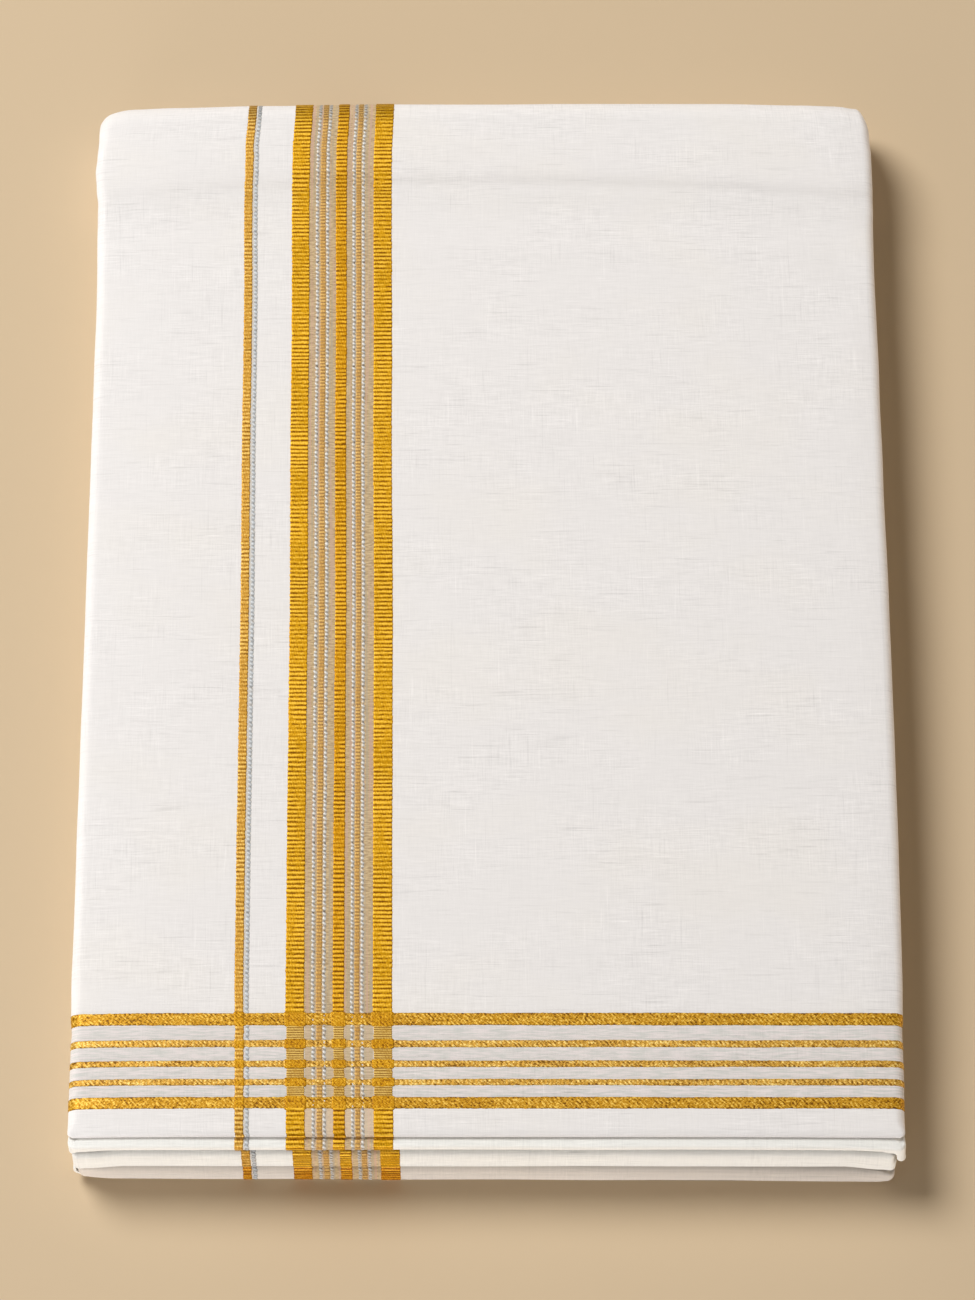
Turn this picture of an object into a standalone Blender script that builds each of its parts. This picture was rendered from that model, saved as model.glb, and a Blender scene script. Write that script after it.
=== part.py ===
"""Folded dhoti cloth: one long unstitched cotton cloth with a woven zari border
and a zari end band, folded to a flat stack that lies on a surface.

Metres, +Z up. X runs across the stack, +Y towards its far, rolled fold, and the
origin is the middle of the flat underside. Each stretch of the cloth that shows
is a wall of its own; the layers hidden between them share one solid.
"""

from collections import namedtuple
from math import cos, pi, radians, sin, sqrt

import bmesh
import bpy

# ----------------------------------------------------------------- main sizes
STACK_WIDTH = 0.2600      # across the upper folds, a fifth of a 1.30 m cloth
STACK_LENGTH = 0.3814     # front fold to far fold, a tenth of a 3.8 m cloth
STACK_HEIGHT = 0.0255     # fifty plies with the air between them
WALL = 0.0012             # cloth wall
SEAM = 0.00032            # clear space between neighbours

FAR = STACK_LENGTH / 2    # furthest point of the rolled fold
NEAR = -STACK_LENGTH / 2  # front edge of the bottom stretch
ROLL = STACK_HEIGHT / 2   # outer radius of the far fold
ROLL_Y = FAR - ROLL       # centre line of the far fold

TOP_FRONT = -0.1848       # front edge of the top stretch
UNDER_LIP = 0.1500        # where the far fold's turned-under end stops
BAND_REACH = 0.0044       # how far a front fold's lips run in under the stack
HANG_LIP = 0.0016         # the same where a fold only hangs down past those below
CORNER_LEAST = 0.00035    # least corner radius on a lip

ARC_STEPS = 5
CORNER_STEPS = 5
ROLL_STEPS = 14

# A height or a width at a place along the stack.
Row = namedtuple("Row", "y left right")

# How far the side outlines stand out past the straight stack.
SIDE_DRIFT = [
    Row(-0.1910, 0.0000, 0.0000),
    Row(-0.0600, 0.0001, -0.0002),
    Row(0.0500, 0.0000, 0.0000),
    Row(0.1100, 0.0005, 0.0001),
    Row(0.1480, 0.0010, 0.0003),
    Row(0.1600, 0.0006, 0.0001),
    Row(0.1730, 0.0014, 0.0006),
    Row(0.1910, 0.0012, -0.0004),
]

# How far the top sinks towards each side edge, and over what width.
Sink = namedtuple("Sink", "side depth width")
SIDE_SINK = [Sink("left", 0.0011, 0.036), Sink("right", 0.0008, 0.016)]

# Soft troughs across the top: where, how deep at each side and in the middle.
Trough = namedtuple("Trough", "y bend depth_left depth_mid depth_right spread")
TROUGHS = [
    Trough(0.1585, -0.0060, 0.00025, 0.00070, 0.00060, 0.0062),
    Trough(0.1345, 0.0000, 0.00005, 0.00014, 0.00012, 0.0045),
]

# One front fold: a row for each place round it. place is left, front or right;
# along is y on a side and x on the front; out is x or y of its face; lip is how
# far its lower lip runs in.
Fold = namedtuple("Fold", "place along out low high round_low round_high lean lip")

UPPER_FOLD = [
    Fold("left", 0.1760, -0.1283, 0.02040, 0.02215, 0.0006, 0.0006, 0.0, BAND_REACH),
    Fold("left", 0.1600, -0.1284, 0.02040, 0.02215, 0.0006, 0.0006, 0.0, BAND_REACH),
    Fold("left", 0.1510, -0.1296, 0.02040, 0.02215, 0.0006, 0.0006, 0.0, BAND_REACH),
    Fold("left", 0.0600, -0.1298, 0.02030, 0.02215, 0.0006, 0.0006, 0.0, BAND_REACH),
    Fold("left", -0.0600, -0.1297, 0.02040, 0.02215, 0.0006, 0.0006, 0.0, BAND_REACH),
    Fold("left", -0.1820, -0.1298, 0.02040, 0.02215, 0.0006, 0.0006, 0.0, BAND_REACH),
    Fold("front", -0.1240, -0.1880, 0.02040, 0.02380, 0.0015, 0.0018, 0.0, BAND_REACH),
    Fold("front", -0.0600, -0.1880, 0.02040, 0.02380, 0.0015, 0.0018, 0.0, BAND_REACH),
    Fold("front", 0.0600, -0.1880, 0.02040, 0.02380, 0.0015, 0.0018, 0.0, BAND_REACH),
    Fold("front", 0.1240, -0.1880, 0.02040, 0.02380, 0.0015, 0.0018, 0.0, BAND_REACH),
    Fold("right", -0.1820, 0.1298, 0.02040, 0.02215, 0.0006, 0.0006, 0.0, BAND_REACH),
    Fold("right", -0.1800, 0.1298, 0.02040, 0.02215, 0.0004, 0.0006, 0.0, HANG_LIP),
    Fold("right", -0.1760, 0.1298, 0.01700, 0.02215, 0.0004, 0.0006, 0.0, HANG_LIP),
    Fold("right", -0.1500, 0.1298, 0.01610, 0.02215, 0.0004, 0.0006, 0.0, HANG_LIP),
    Fold("right", -0.0600, 0.1297, 0.01650, 0.02215, 0.0004, 0.0006, 0.0, HANG_LIP),
    Fold("right", 0.0600, 0.1298, 0.01580, 0.02215, 0.0004, 0.0006, 0.0, HANG_LIP),
    Fold("right", 0.1420, 0.1297, 0.01660, 0.02215, 0.0004, 0.0006, 0.0, HANG_LIP),
    Fold("right", 0.1520, 0.1296, 0.02040, 0.02215, 0.0006, 0.0006, 0.0, HANG_LIP),
    Fold("right", 0.1600, 0.1284, 0.02040, 0.02215, 0.0006, 0.0006, 0.0, BAND_REACH),
    Fold("right", 0.1760, 0.1283, 0.02040, 0.02215, 0.0006, 0.0006, 0.0, BAND_REACH),
]

MIDDLE_FOLD = [
    Fold("left", 0.1830, -0.1276, 0.00930, 0.02005, 0.0030, 0.0030, 0.0, BAND_REACH),
    Fold("left", 0.0600, -0.1281, 0.00930, 0.02005, 0.0030, 0.0030, 0.0, BAND_REACH),
    Fold("left", -0.0700, -0.1284, 0.00930, 0.02005, 0.0030, 0.0030, 0.0, BAND_REACH),
    Fold("left", -0.1830, -0.1284, 0.00930, 0.02005, 0.0030, 0.0030, 0.0, BAND_REACH),
    Fold("front", -0.1220, -0.1897, 0.00930, 0.02005, 0.0022, 0.0026, 0.0011, BAND_REACH),
    Fold("front", -0.0600, -0.1898, 0.00930, 0.02005, 0.0022, 0.0026, 0.0012, BAND_REACH),
    Fold("front", 0.0600, -0.1898, 0.00930, 0.02005, 0.0022, 0.0026, 0.0012, BAND_REACH),
    Fold("front", 0.1210, -0.1896, 0.00930, 0.02005, 0.0022, 0.0026, 0.0011, BAND_REACH),
    Fold("right", -0.1830, 0.1276, 0.00930, 0.02005, 0.0030, 0.0030, 0.0, BAND_REACH),
    Fold("right", -0.0700, 0.1276, 0.00930, 0.02005, 0.0030, 0.0030, 0.0, BAND_REACH),
    Fold("right", 0.0600, 0.1274, 0.00930, 0.02005, 0.0030, 0.0030, 0.0, BAND_REACH),
    Fold("right", 0.1830, 0.1272, 0.00930, 0.02005, 0.0030, 0.0030, 0.0, BAND_REACH),
]

LOWER_FOLD = [
    Fold("left", 0.1780, -0.1272, 0.00520, 0.00895, 0.0016, 0.0016, 0.0, BAND_REACH),
    Fold("left", 0.0600, -0.1277, 0.00520, 0.00895, 0.0016, 0.0016, 0.0, BAND_REACH),
    Fold("left", -0.0700, -0.1274, 0.00520, 0.00895, 0.0016, 0.0016, 0.0, BAND_REACH),
    Fold("left", -0.1820, -0.1278, 0.00520, 0.00895, 0.0016, 0.0016, 0.0, BAND_REACH),
    Fold("front", -0.1236, -0.1888, 0.00510, 0.00895, 0.0016, 0.0016, 0.0, BAND_REACH),
    Fold("front", -0.1160, -0.1888, 0.00155, 0.00895, 0.0034, 0.0028, 0.0003, BAND_REACH),
    Fold("front", -0.0600, -0.1887, 0.00155, 0.00895, 0.0034, 0.0030, 0.0003, BAND_REACH),
    Fold("front", 0.0600, -0.1887, 0.00155, 0.00895, 0.0034, 0.0030, 0.0003, BAND_REACH),
    Fold("front", 0.1160, -0.1888, 0.00155, 0.00895, 0.0034, 0.0028, 0.0003, BAND_REACH),
    Fold("front", 0.1220, -0.1888, 0.00520, 0.00895, 0.0016, 0.0016, 0.0, BAND_REACH),
    Fold("right", -0.1820, 0.1270, 0.00530, 0.00895, 0.0016, 0.0016, 0.0, BAND_REACH),
    Fold("right", -0.0700, 0.1266, 0.00530, 0.00895, 0.0016, 0.0016, 0.0, BAND_REACH),
    Fold("right", 0.0600, 0.1268, 0.00530, 0.00895, 0.0016, 0.0016, 0.0, BAND_REACH),
    Fold("right", 0.1780, 0.1264, 0.00530, 0.00895, 0.0016, 0.0016, 0.0, BAND_REACH),
]

# The side turn-downs of the top stretch along its run over the far fold.
# turn is degrees round the far fold, 0 on the top and 180 on the underside; on
# the flat top it is minus the millimetres still to go to the fold.
Turn = namedtuple("Turn", "turn depth_left depth_right wide_left wide_right tall_left tall_right")
TOP_TURNS = [
    Turn(-14.0, 0.0030, 0.0030, 0.0034, 0.0030, 0.0028, 0.0028),
    Turn(-2.0, 0.0054, 0.0054, 0.0042, 0.0030, 0.0030, 0.0034),
    Turn(20.0, 0.0074, 0.0074, 0.0054, 0.0030, 0.0034, 0.0044),
    Turn(60.0, 0.0106, 0.0106, 0.0068, 0.0034, 0.0042, 0.0062),
    Turn(120.0, 0.0110, 0.0110, 0.0060, 0.0036, 0.0042, 0.0056),
    Turn(180.0, 0.0086, 0.0086, 0.0050, 0.0040, 0.0040, 0.0044),
]

# The upturned sides of the bottom stretch.
BOTTOM_LEFT, BOTTOM_RIGHT = -0.1284, 0.1276
BOTTOM_TURN = namedtuple("BottomTurn", "height wide tall")
BOTTOM_SIDES = {
    "left": BOTTOM_TURN(0.0046, 0.0066, 0.0040),
    "right": BOTTOM_TURN(0.0048, 0.0050, 0.0044),
}

# The hidden layers: a row for each level, with how far each edge is set in
# from the outlines of the folds round them, so its edges are layered.
Level = namedtuple("Level", "z front left right")
HIDDEN_LEVELS = [
    Level(0.00155, -0.1838, -0.1222, 0.1214),
    Level(0.00520, -0.1838, -0.1222, 0.1214),
    Level(0.01090, -0.1838, -0.1222, 0.1214),
    Level(0.01105, -0.1864, -0.1246, 0.1242),
    Level(0.01480, -0.1866, -0.1256, 0.1250),
    Level(0.01800, -0.1848, -0.1246, 0.1240),
    Level(0.01815, -0.1828, -0.1224, 0.1220),
    Level(0.02120, -0.1828, -0.1224, 0.1220),
    Level(0.02270, -0.1828, -0.1224, 0.1220),
]
HIDDEN_CORNER = 0.0016

# --------------------------------------------------------------- small tools


def smooth(t):
    t = min(1.0, max(0.0, t))
    return t * t * (3 - 2 * t)


def between(rows, key, value):
    """A row of a table at a value between two of its rows, eased."""
    first = rows[0]
    if value <= getattr(first, key):
        return first
    for a, b in zip(rows, rows[1:]):
        if value <= getattr(b, key):
            t = smooth((value - getattr(a, key)) / (getattr(b, key) - getattr(a, key)))
            return type(a)(*(p + (q - p) * t for p, q in zip(a, b)))
    return rows[-1]


def quarter(cx, cy, rx, ry, start, end, steps):
    """Points along a quarter of an ellipse, in degrees."""
    out = []
    for i in range(steps + 1):
        a = radians(start + (end - start) * i / steps)
        out.append((cx + rx * cos(a), cy + ry * sin(a)))
    return out


def settle(x, y, z):
    """The stack's own slumping: the top sinks at its side edges and dips in
    soft troughs, the layers below follow in proportion, and the underside
    stays flat."""
    drift = between(SIDE_DRIFT, "y", y)
    edge = x / (STACK_WIDTH / 2)
    x += -drift.left * smooth(-edge) if x < 0 else drift.right * smooth(edge)
    drop = 0.0
    for s in SIDE_SINK:
        inside = x + STACK_WIDTH / 2 if s.side == "left" else STACK_WIDTH / 2 - x
        t = max(0.0, 1 - max(0.0, inside) / s.width)
        drop += s.depth * t * t
    for t in TROUGHS:
        line = t.y + t.bend * edge * edge
        deep = t.depth_mid + (
            (t.depth_left - t.depth_mid) * smooth(-edge)
            if x < 0
            else (t.depth_right - t.depth_mid) * smooth(edge)
        )
        away = (y - line) / t.spread
        drop += deep / (1 + away * away) ** 2
    return x, y, z * (1 - drop / STACK_HEIGHT)


def lattice(name, rings, material, closed_ends="strip"):
    """A closed solid from rings of equal length: neighbours are joined, and the
    first and last rings are capped. A strip cap joins each outer point of a
    wall's ring to the inner point across the wall."""
    mesh = bmesh.new()
    made = [[mesh.verts.new(settle(*p)) for p in ring] for ring in rings]
    n = len(made[0])
    for a, b in zip(made, made[1:]):
        for i in range(n):
            j = (i + 1) % n
            mesh.faces.new((a[i], a[j], b[j], b[i]))
    for ring in (made[0], made[-1]):
        if closed_ends == "strip":
            for i in range(n // 2 - 1):
                mesh.faces.new((ring[i], ring[i + 1], ring[n - 2 - i], ring[n - 1 - i]))
        else:
            mesh.faces.new(ring)
    bmesh.ops.recalc_face_normals(mesh, faces=mesh.faces)
    data = bpy.data.meshes.new(name)
    mesh.to_mesh(data)
    mesh.free()
    data.materials.append(material)
    data.shade_smooth()
    data.set_sharp_from_angle(angle=radians(40))
    piece = bpy.data.objects.new(name, data)
    bpy.context.scene.collection.objects.link(piece)
    return piece


def cloth(name, colour, roughness=0.85):
    material = bpy.data.materials.new(name)
    material.use_nodes = True
    shader = material.node_tree.nodes["Principled BSDF"]
    shader.inputs["Base Color"].default_value = (*colour, 1)
    shader.inputs["Roughness"].default_value = roughness
    shader.inputs["Metallic"].default_value = 0.0
    return material


# ------------------------------------------------------------ the top stretch


def top_profile(turn):
    """The top stretch's wall across the stack, as (x, depth) points: the outer
    face from the left turn-down to the right one, then the inner face back."""
    half = STACK_WIDTH / 2

    def line(inset):
        wide_l, tall_l = turn.wide_left - inset, turn.tall_left - inset
        wide_r, tall_r = turn.wide_right - inset, turn.tall_right - inset
        left, right = -half + inset, half - inset
        points = [(left, -turn.depth_left)]
        points += quarter(left + wide_l, -inset - tall_l, wide_l, tall_l, 180, 90, ARC_STEPS)
        points += [(x, -inset) for x in (-0.094, -0.050, 0.011, 0.060, 0.110)]
        points += quarter(right - wide_r, -inset - tall_r, wide_r, tall_r, 90, 0, ARC_STEPS)
        return points + [(right, -turn.depth_right)]

    return line(0.0) + line(WALL)[::-1]


def top_stretch():
    """Sweeps the wall from the front edge, over the far fold and under it."""
    stations = [(TOP_FRONT, STACK_HEIGHT - 0.0001, -2.0)]
    stations += [(y, STACK_HEIGHT, 0.0) for y in (-0.1800, -0.1400, -0.0900, -0.0300, 0.0400)]
    stations += [(y, STACK_HEIGHT, 0.0) for y in (0.0900, 0.1220, 0.1345, 0.1440, 0.1520, 0.1585, 0.1650, 0.1715)]
    for i in range(ROLL_STEPS + 1):
        a = 180.0 * i / ROLL_STEPS
        stations.append((ROLL_Y + ROLL * sin(radians(a)), ROLL + ROLL * cos(radians(a)), a))
    stations.append((UNDER_LIP, 0.0, 180.0))
    rings = []
    for y, z, angle in stations:
        turn = angle if y > ROLL_Y or z < ROLL else (y - ROLL_Y) * 1000
        profile = top_profile(between(TOP_TURNS, "turn", turn))
        out_y, out_z = sin(radians(angle)), cos(radians(angle))
        rings.append([(x, y + depth * out_y, z + depth * out_z) for x, depth in profile])
    return lattice("top_stretch", rings, cloth("top_cloth", (0.83, 0.80, 0.76)))


# ------------------------------------------------------------ the front folds


def fold_section(row):
    """A front fold's wall as (inset, z) points: a channel with a rounded face,
    open towards the stack. The outer face comes first, then the inner one."""
    tall = row.high - row.low

    def line(d):
        low, high = row.low + d, row.high - d
        rl = max(0.0002, row.round_low - d)
        rh = max(0.0002, row.round_high - d)
        points = [(row.lip, low)]
        points += quarter(d + rl, low + rl, rl, rl, 270, 180, ARC_STEPS)
        points += quarter(d + rh, high - rh, rh, rh, 180, 90, ARC_STEPS)
        points.append((BAND_REACH, high))
        return points

    wall = min(WALL, (tall - 0.0003) / 2)
    both = line(0.0) + line(wall)[::-1]
    return [(o + row.lean * (z - row.low) / tall, z) for o, z in both]


def fold_band(name, rows, material, corner=0.0024):
    """Sweeps a front fold from the far end of the left side, round the front
    corners, to the far end of the right side."""
    rings = []
    for index, row in enumerate(rows):
        section = fold_section(row)
        if row.place == "left":
            rings.append([(row.out + o, row.along, z) for o, z in section])
        elif row.place == "right":
            rings.append([(row.out - o, row.along, z) for o, z in section])
        else:
            rings.append([(row.along, row.out + o, z) for o, z in section])
        after = rows[index + 1] if index + 1 < len(rows) else None
        if after is None or after.place == row.place:
            continue
        side, front = (row, after) if row.place == "left" else (after, row)
        sign = 1 if side.place == "left" else -1
        for k in range(CORNER_STEPS + 1):
            t = k / CORNER_STEPS
            eased = smooth(t)
            mixed = type(row)(row.place, 0.0, 0.0, *(
                p + (q - p) * eased for p, q in zip(row[3:], after[3:])
            ))
            angle = (pi / 2) * (t if side is row else 1 - t)
            ring = []
            for o, z in fold_section(mixed):
                r = max(CORNER_LEAST, corner - o)
                cx = side.out + sign * (o + r)
                cy = front.out + o + r
                ring.append((cx - sign * r * cos(angle), cy - r * sin(angle), z))
            rings.append(ring)
    return lattice(name, rings, material)


# --------------------------------------------------------- the bottom stretch


def bottom_stretch():
    """The lowest ply: flat below, its sides turned up round the lower fold."""

    def line(d):
        points = []
        for side, edge, sign in (("left", BOTTOM_LEFT, 1), ("right", BOTTOM_RIGHT, -1)):
            turn = BOTTOM_SIDES[side]
            wide, tall = turn.wide - d, turn.tall - d
            x = edge + sign * d
            curve = [(x, turn.height)]
            curve += quarter(x + sign * wide, d + tall, sign * wide, tall, 180, 270, ARC_STEPS)
            points += curve if side == "left" else curve[::-1]
        left, right = points[: len(points) // 2], points[len(points) // 2 :]
        return left + [(-0.061, d), (0.067, d)] + right

    ring = line(0.0) + line(WALL)[::-1]
    stations = (NEAR, NEAR + 0.004, -0.11, -0.04, 0.05, 0.11, UNDER_LIP - SEAM - 0.0008)
    rings = [[(x, y, z) for x, z in ring] for y in stations]
    return lattice("bottom_stretch", rings, cloth("bottom_cloth", (0.78, 0.75, 0.70)))


# ---------------------------------------------------------- the hidden layers


def hidden_layers():
    """All the plies between the stretches that show, as one solid with layered
    front and side edges and a far end that follows the rolled fold."""
    reach = ROLL - WALL - 1.6 * SEAM
    rings = []
    for row in HIDDEN_LEVELS:
        lift = row.z - ROLL
        back = ROLL_Y + sqrt(max(1e-8, reach * reach - lift * lift)) * 0.995
        r = HIDDEN_CORNER
        ring = []
        for cx, cy, start in (
            (row.left + r, row.front + r, 180),
            (row.right - r, row.front + r, 270),
            (row.right - r, back - r, 0),
            (row.left + r, back - r, 90),
        ):
            ring += [(x, y, row.z) for x, y in quarter(cx, cy, r, r, start, start + 90, 3)]
        rings.append(ring)
    return lattice("inner_folds", rings, cloth("inner_cloth", (0.80, 0.77, 0.71)), "face")


def build():
    for piece in list(bpy.data.objects):
        bpy.data.objects.remove(piece, do_unlink=True)
    rest = bpy.data.objects.new("folded_dhoti", None)
    bpy.context.scene.collection.objects.link(rest)
    pieces = [
        top_stretch(),
        fold_band("upper_fold", UPPER_FOLD, cloth("upper_cloth", (0.84, 0.81, 0.77))),
        fold_band("middle_fold", MIDDLE_FOLD, cloth("middle_cloth", (0.81, 0.78, 0.72))),
        fold_band("lower_fold", LOWER_FOLD, cloth("lower_cloth", (0.77, 0.73, 0.67))),
        bottom_stretch(),
        hidden_layers(),
    ]
    for piece in pieces:
        piece.parent = rest


build()
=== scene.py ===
"""Looks of the folded dhoti cloth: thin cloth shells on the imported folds, the
woven zari borders and end band as raised thread work, and a soft studio.

Metres, +Z up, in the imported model's own frame. Every shape is worked out from
the tables below, which repeat the folds' sizes, and from short functions.
"""
from math import pi, radians

import bpy
import numpy as np
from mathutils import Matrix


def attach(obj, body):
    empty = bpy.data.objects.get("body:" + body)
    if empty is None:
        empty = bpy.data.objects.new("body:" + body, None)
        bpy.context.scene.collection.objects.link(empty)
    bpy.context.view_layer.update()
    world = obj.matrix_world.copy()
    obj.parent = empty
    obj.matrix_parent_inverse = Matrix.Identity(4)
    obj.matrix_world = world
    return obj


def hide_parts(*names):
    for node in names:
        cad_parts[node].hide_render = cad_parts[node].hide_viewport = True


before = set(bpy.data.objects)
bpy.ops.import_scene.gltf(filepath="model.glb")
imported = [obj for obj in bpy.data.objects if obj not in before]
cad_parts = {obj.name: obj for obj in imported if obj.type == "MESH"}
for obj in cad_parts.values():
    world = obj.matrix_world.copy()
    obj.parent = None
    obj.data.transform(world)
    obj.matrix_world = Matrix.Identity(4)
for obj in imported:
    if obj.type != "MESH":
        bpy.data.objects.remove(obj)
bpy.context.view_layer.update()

MM = 0.001

# ---------------------------------------------------------------- main sizes
STACK_WIDTH = 0.2600
STACK_HEIGHT = 0.0255
ROLL = STACK_HEIGHT / 2
ROLL_Y = 0.1907 - ROLL
TOP_FRONT = -0.1848
UNDER_LIP = 0.1500
BAND_REACH = 0.0044
HANG_LIP = 0.0016
CORNER = 0.0024
CORNER_LEAST = 0.00035
CLOTH = 0.00045            # thickness of the cloth shells
FRONT_TURN = 0.00075       # radius of the top stretch's front fold
TUCK = 0.0040              # how far it runs back in under itself

# ------------------------------------------------------------- small helpers


def smooth(t):
    t = np.clip(t, 0.0, 1.0)
    return t * t * (3 - 2 * t)


def ramp(value, low, high):
    return smooth((value - low) / (high - low))


def eased(table, value):
    """Rows of a table (key first) at an array of values, eased between rows."""
    table = np.asarray(table, float)
    keys = table[:, 0]
    value = np.asarray(value, float)
    i = np.clip(np.searchsorted(keys, value) - 1, 0, len(keys) - 2)
    t = smooth((value - keys[i]) / (keys[i + 1] - keys[i]))[..., None]
    return table[i, 1:] + (table[i + 1, 1:] - table[i, 1:]) * t


def column(table, value):
    return eased(table, value)[..., 0]


def lattice_noise(i, j, seed):
    i = np.asarray(i).astype(np.int64)
    j = np.asarray(j).astype(np.int64)
    n = (i * 374761393 + j * 668265263 + seed * 974634777) & 0xFFFFFFFF
    n = ((n ^ (n >> 13)) * 1274126177) & 0xFFFFFFFF
    n = n ^ (n >> 16)
    return (n & 0xFFFFFF) / float(0xFFFFFF) * 2 - 1


def noise(x, y=0.0, seed=0):
    """Smooth noise from -1 to 1, the same every run."""
    x, y = np.broadcast_arrays(np.asarray(x, float), np.asarray(y, float))
    i, j = np.floor(x), np.floor(y)
    a, b = smooth(x - i), smooth(y - j)
    n00, n10 = lattice_noise(i, j, seed), lattice_noise(i + 1, j, seed)
    n01, n11 = lattice_noise(i, j + 1, seed), lattice_noise(i + 1, j + 1, seed)
    return (n00 * (1 - a) + n10 * a) * (1 - b) + (n01 * (1 - a) + n11 * a) * b


def steps(*runs):
    """Values along a line: (start, end, step) runs, joined without repeats."""
    out = []
    for start, end, step in runs:
        n = max(1, int(round(abs(end - start) / step)))
        out += [start + (end - start) * k / n for k in range(n + 1)]
    kept = [out[0]]
    for v in out[1:]:
        if abs(v - kept[-1]) > 1e-7:
            kept.append(v)
    return np.array(kept)


# --------------------------------------------------- the stack's own settling
# y, left, right: how far the side outlines stand out past the straight stack
SIDE_DRIFT = [
    (-0.1910, 0.0004, -0.0001),
    (-0.1790, 0.0004, 0.0000),
    (-0.1650, 0.0003, 0.0003),
    (-0.1540, 0.0003, 0.0003),
    (-0.1495, 0.0001, 0.0002),
    (-0.1440, 0.0005, 0.0006),
    (-0.1300, 0.0007, 0.0009),
    (-0.0800, 0.0006, 0.0010),
    (-0.0200, 0.0004, 0.0008),
    (0.0030, 0.0003, 0.0005),
    (0.0450, 0.0001, 0.0000),
    (0.0800, 0.0001, -0.0002),
    (0.1150, 0.0000, -0.0006),
    (0.1380, 0.0004, -0.0006),
    (0.1480, 0.0006, -0.0003),
    (0.1545, 0.0013, -0.0002),
    (0.1610, 0.0018, -0.0003),
    (0.1665, 0.0014, -0.0004),
    (0.1760, 0.0010, -0.0008),
    (0.1910, 0.0008, -0.0016),
]
# x, how far the rolled fold's end draws in towards the front
FAR_PULL = [
    (-0.1340, 0.0048),
    (-0.1265, 0.0030),
    (-0.1190, 0.0020),
    (-0.1050, 0.0015),
    (-0.0750, 0.0007),
    (-0.0300, 0.0000),
    (0.0800, 0.0000),
    (0.1080, 0.0006),
    (0.1200, 0.0010),
    (0.1260, 0.0019),
    (0.1320, 0.0040),
]
# side (-1 left, 1 right), depth, width
SIDE_SINK = [(-1, 0.0011, 0.036), (-1, 0.0002, 0.010), (1, 0.0004, 0.011)]
# y, bend, depth left, middle, right, spread
TROUGHS = [
    (0.1552, -0.0060, 0.00075, 0.00125, 0.00115, 0.0066),
    (0.1290, 0.0010, 0.00012, 0.00024, 0.00020, 0.0042),
]
# faint soft waves of the top: x, y, reach x, reach y, depth
SOFT_DENTS = [
    (-0.096, 0.118, 0.020, 0.0060, 0.00016),
    (0.108, 0.098, 0.016, 0.0120, 0.00018),
    (0.118, 0.124, 0.007, 0.0090, 0.00034),
    (0.020, 0.062, 0.060, 0.0080, 0.00007),
    (-0.012, -0.036, 0.050, 0.0100, 0.00006),
    (0.074, -0.098, 0.045, 0.0085, 0.00008),
    (-0.108, -0.052, 0.016, 0.0200, 0.00010),
    (0.036, -0.126, 0.060, 0.0040, 0.00005),
    (0.134, -0.187, 0.036, 0.0100, 0.00080),
]


def settle(x, y, z):
    drift = eased(SIDE_DRIFT, y)
    edge = x / (STACK_WIDTH / 2)
    pull = column(FAR_PULL, x) * ramp(y, 0.1600, 0.1860)
    x = x + np.where(x < 0, -drift[..., 0] * smooth(-edge), drift[..., 1] * smooth(edge))
    drop = np.zeros_like(x + y + z)
    for side, depth, width in SIDE_SINK:
        inside = STACK_WIDTH / 2 - side * x
        t = np.maximum(0.0, 1 - np.maximum(0.0, inside) / width)
        drop = drop + depth * t * t
    for ty, bend, left, mid, right, spread in TROUGHS:
        line = ty + bend * edge * edge
        deep = mid + np.where(x < 0, (left - mid) * smooth(-edge), (right - mid) * smooth(edge))
        away = (y - line) / spread
        drop = drop + deep / (1 + away * away) ** 2
    for dx, dy, rx, ry, depth in SOFT_DENTS:
        drop = drop + depth * np.exp(-(((x - dx) / rx) ** 2) - ((y - dy) / ry) ** 2)
    # a slow waviness of the whole top, only a few hundredths of a millimetre
    drop = drop + 0.00004 * noise(x / 0.042, y / 0.026, 5) + 0.00002 * noise(x / 0.015, y / 0.011, 6)
    front = ramp(y, TOP_FRONT + 0.0048, TOP_FRONT + 0.0006)
    drop = drop + 0.00034 * (1 - front) * 0 + 0.00030 * front
    return x, y - pull, z * (1 - drop / STACK_HEIGHT)


# ------------------------------------------------------------- mesh building


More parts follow.
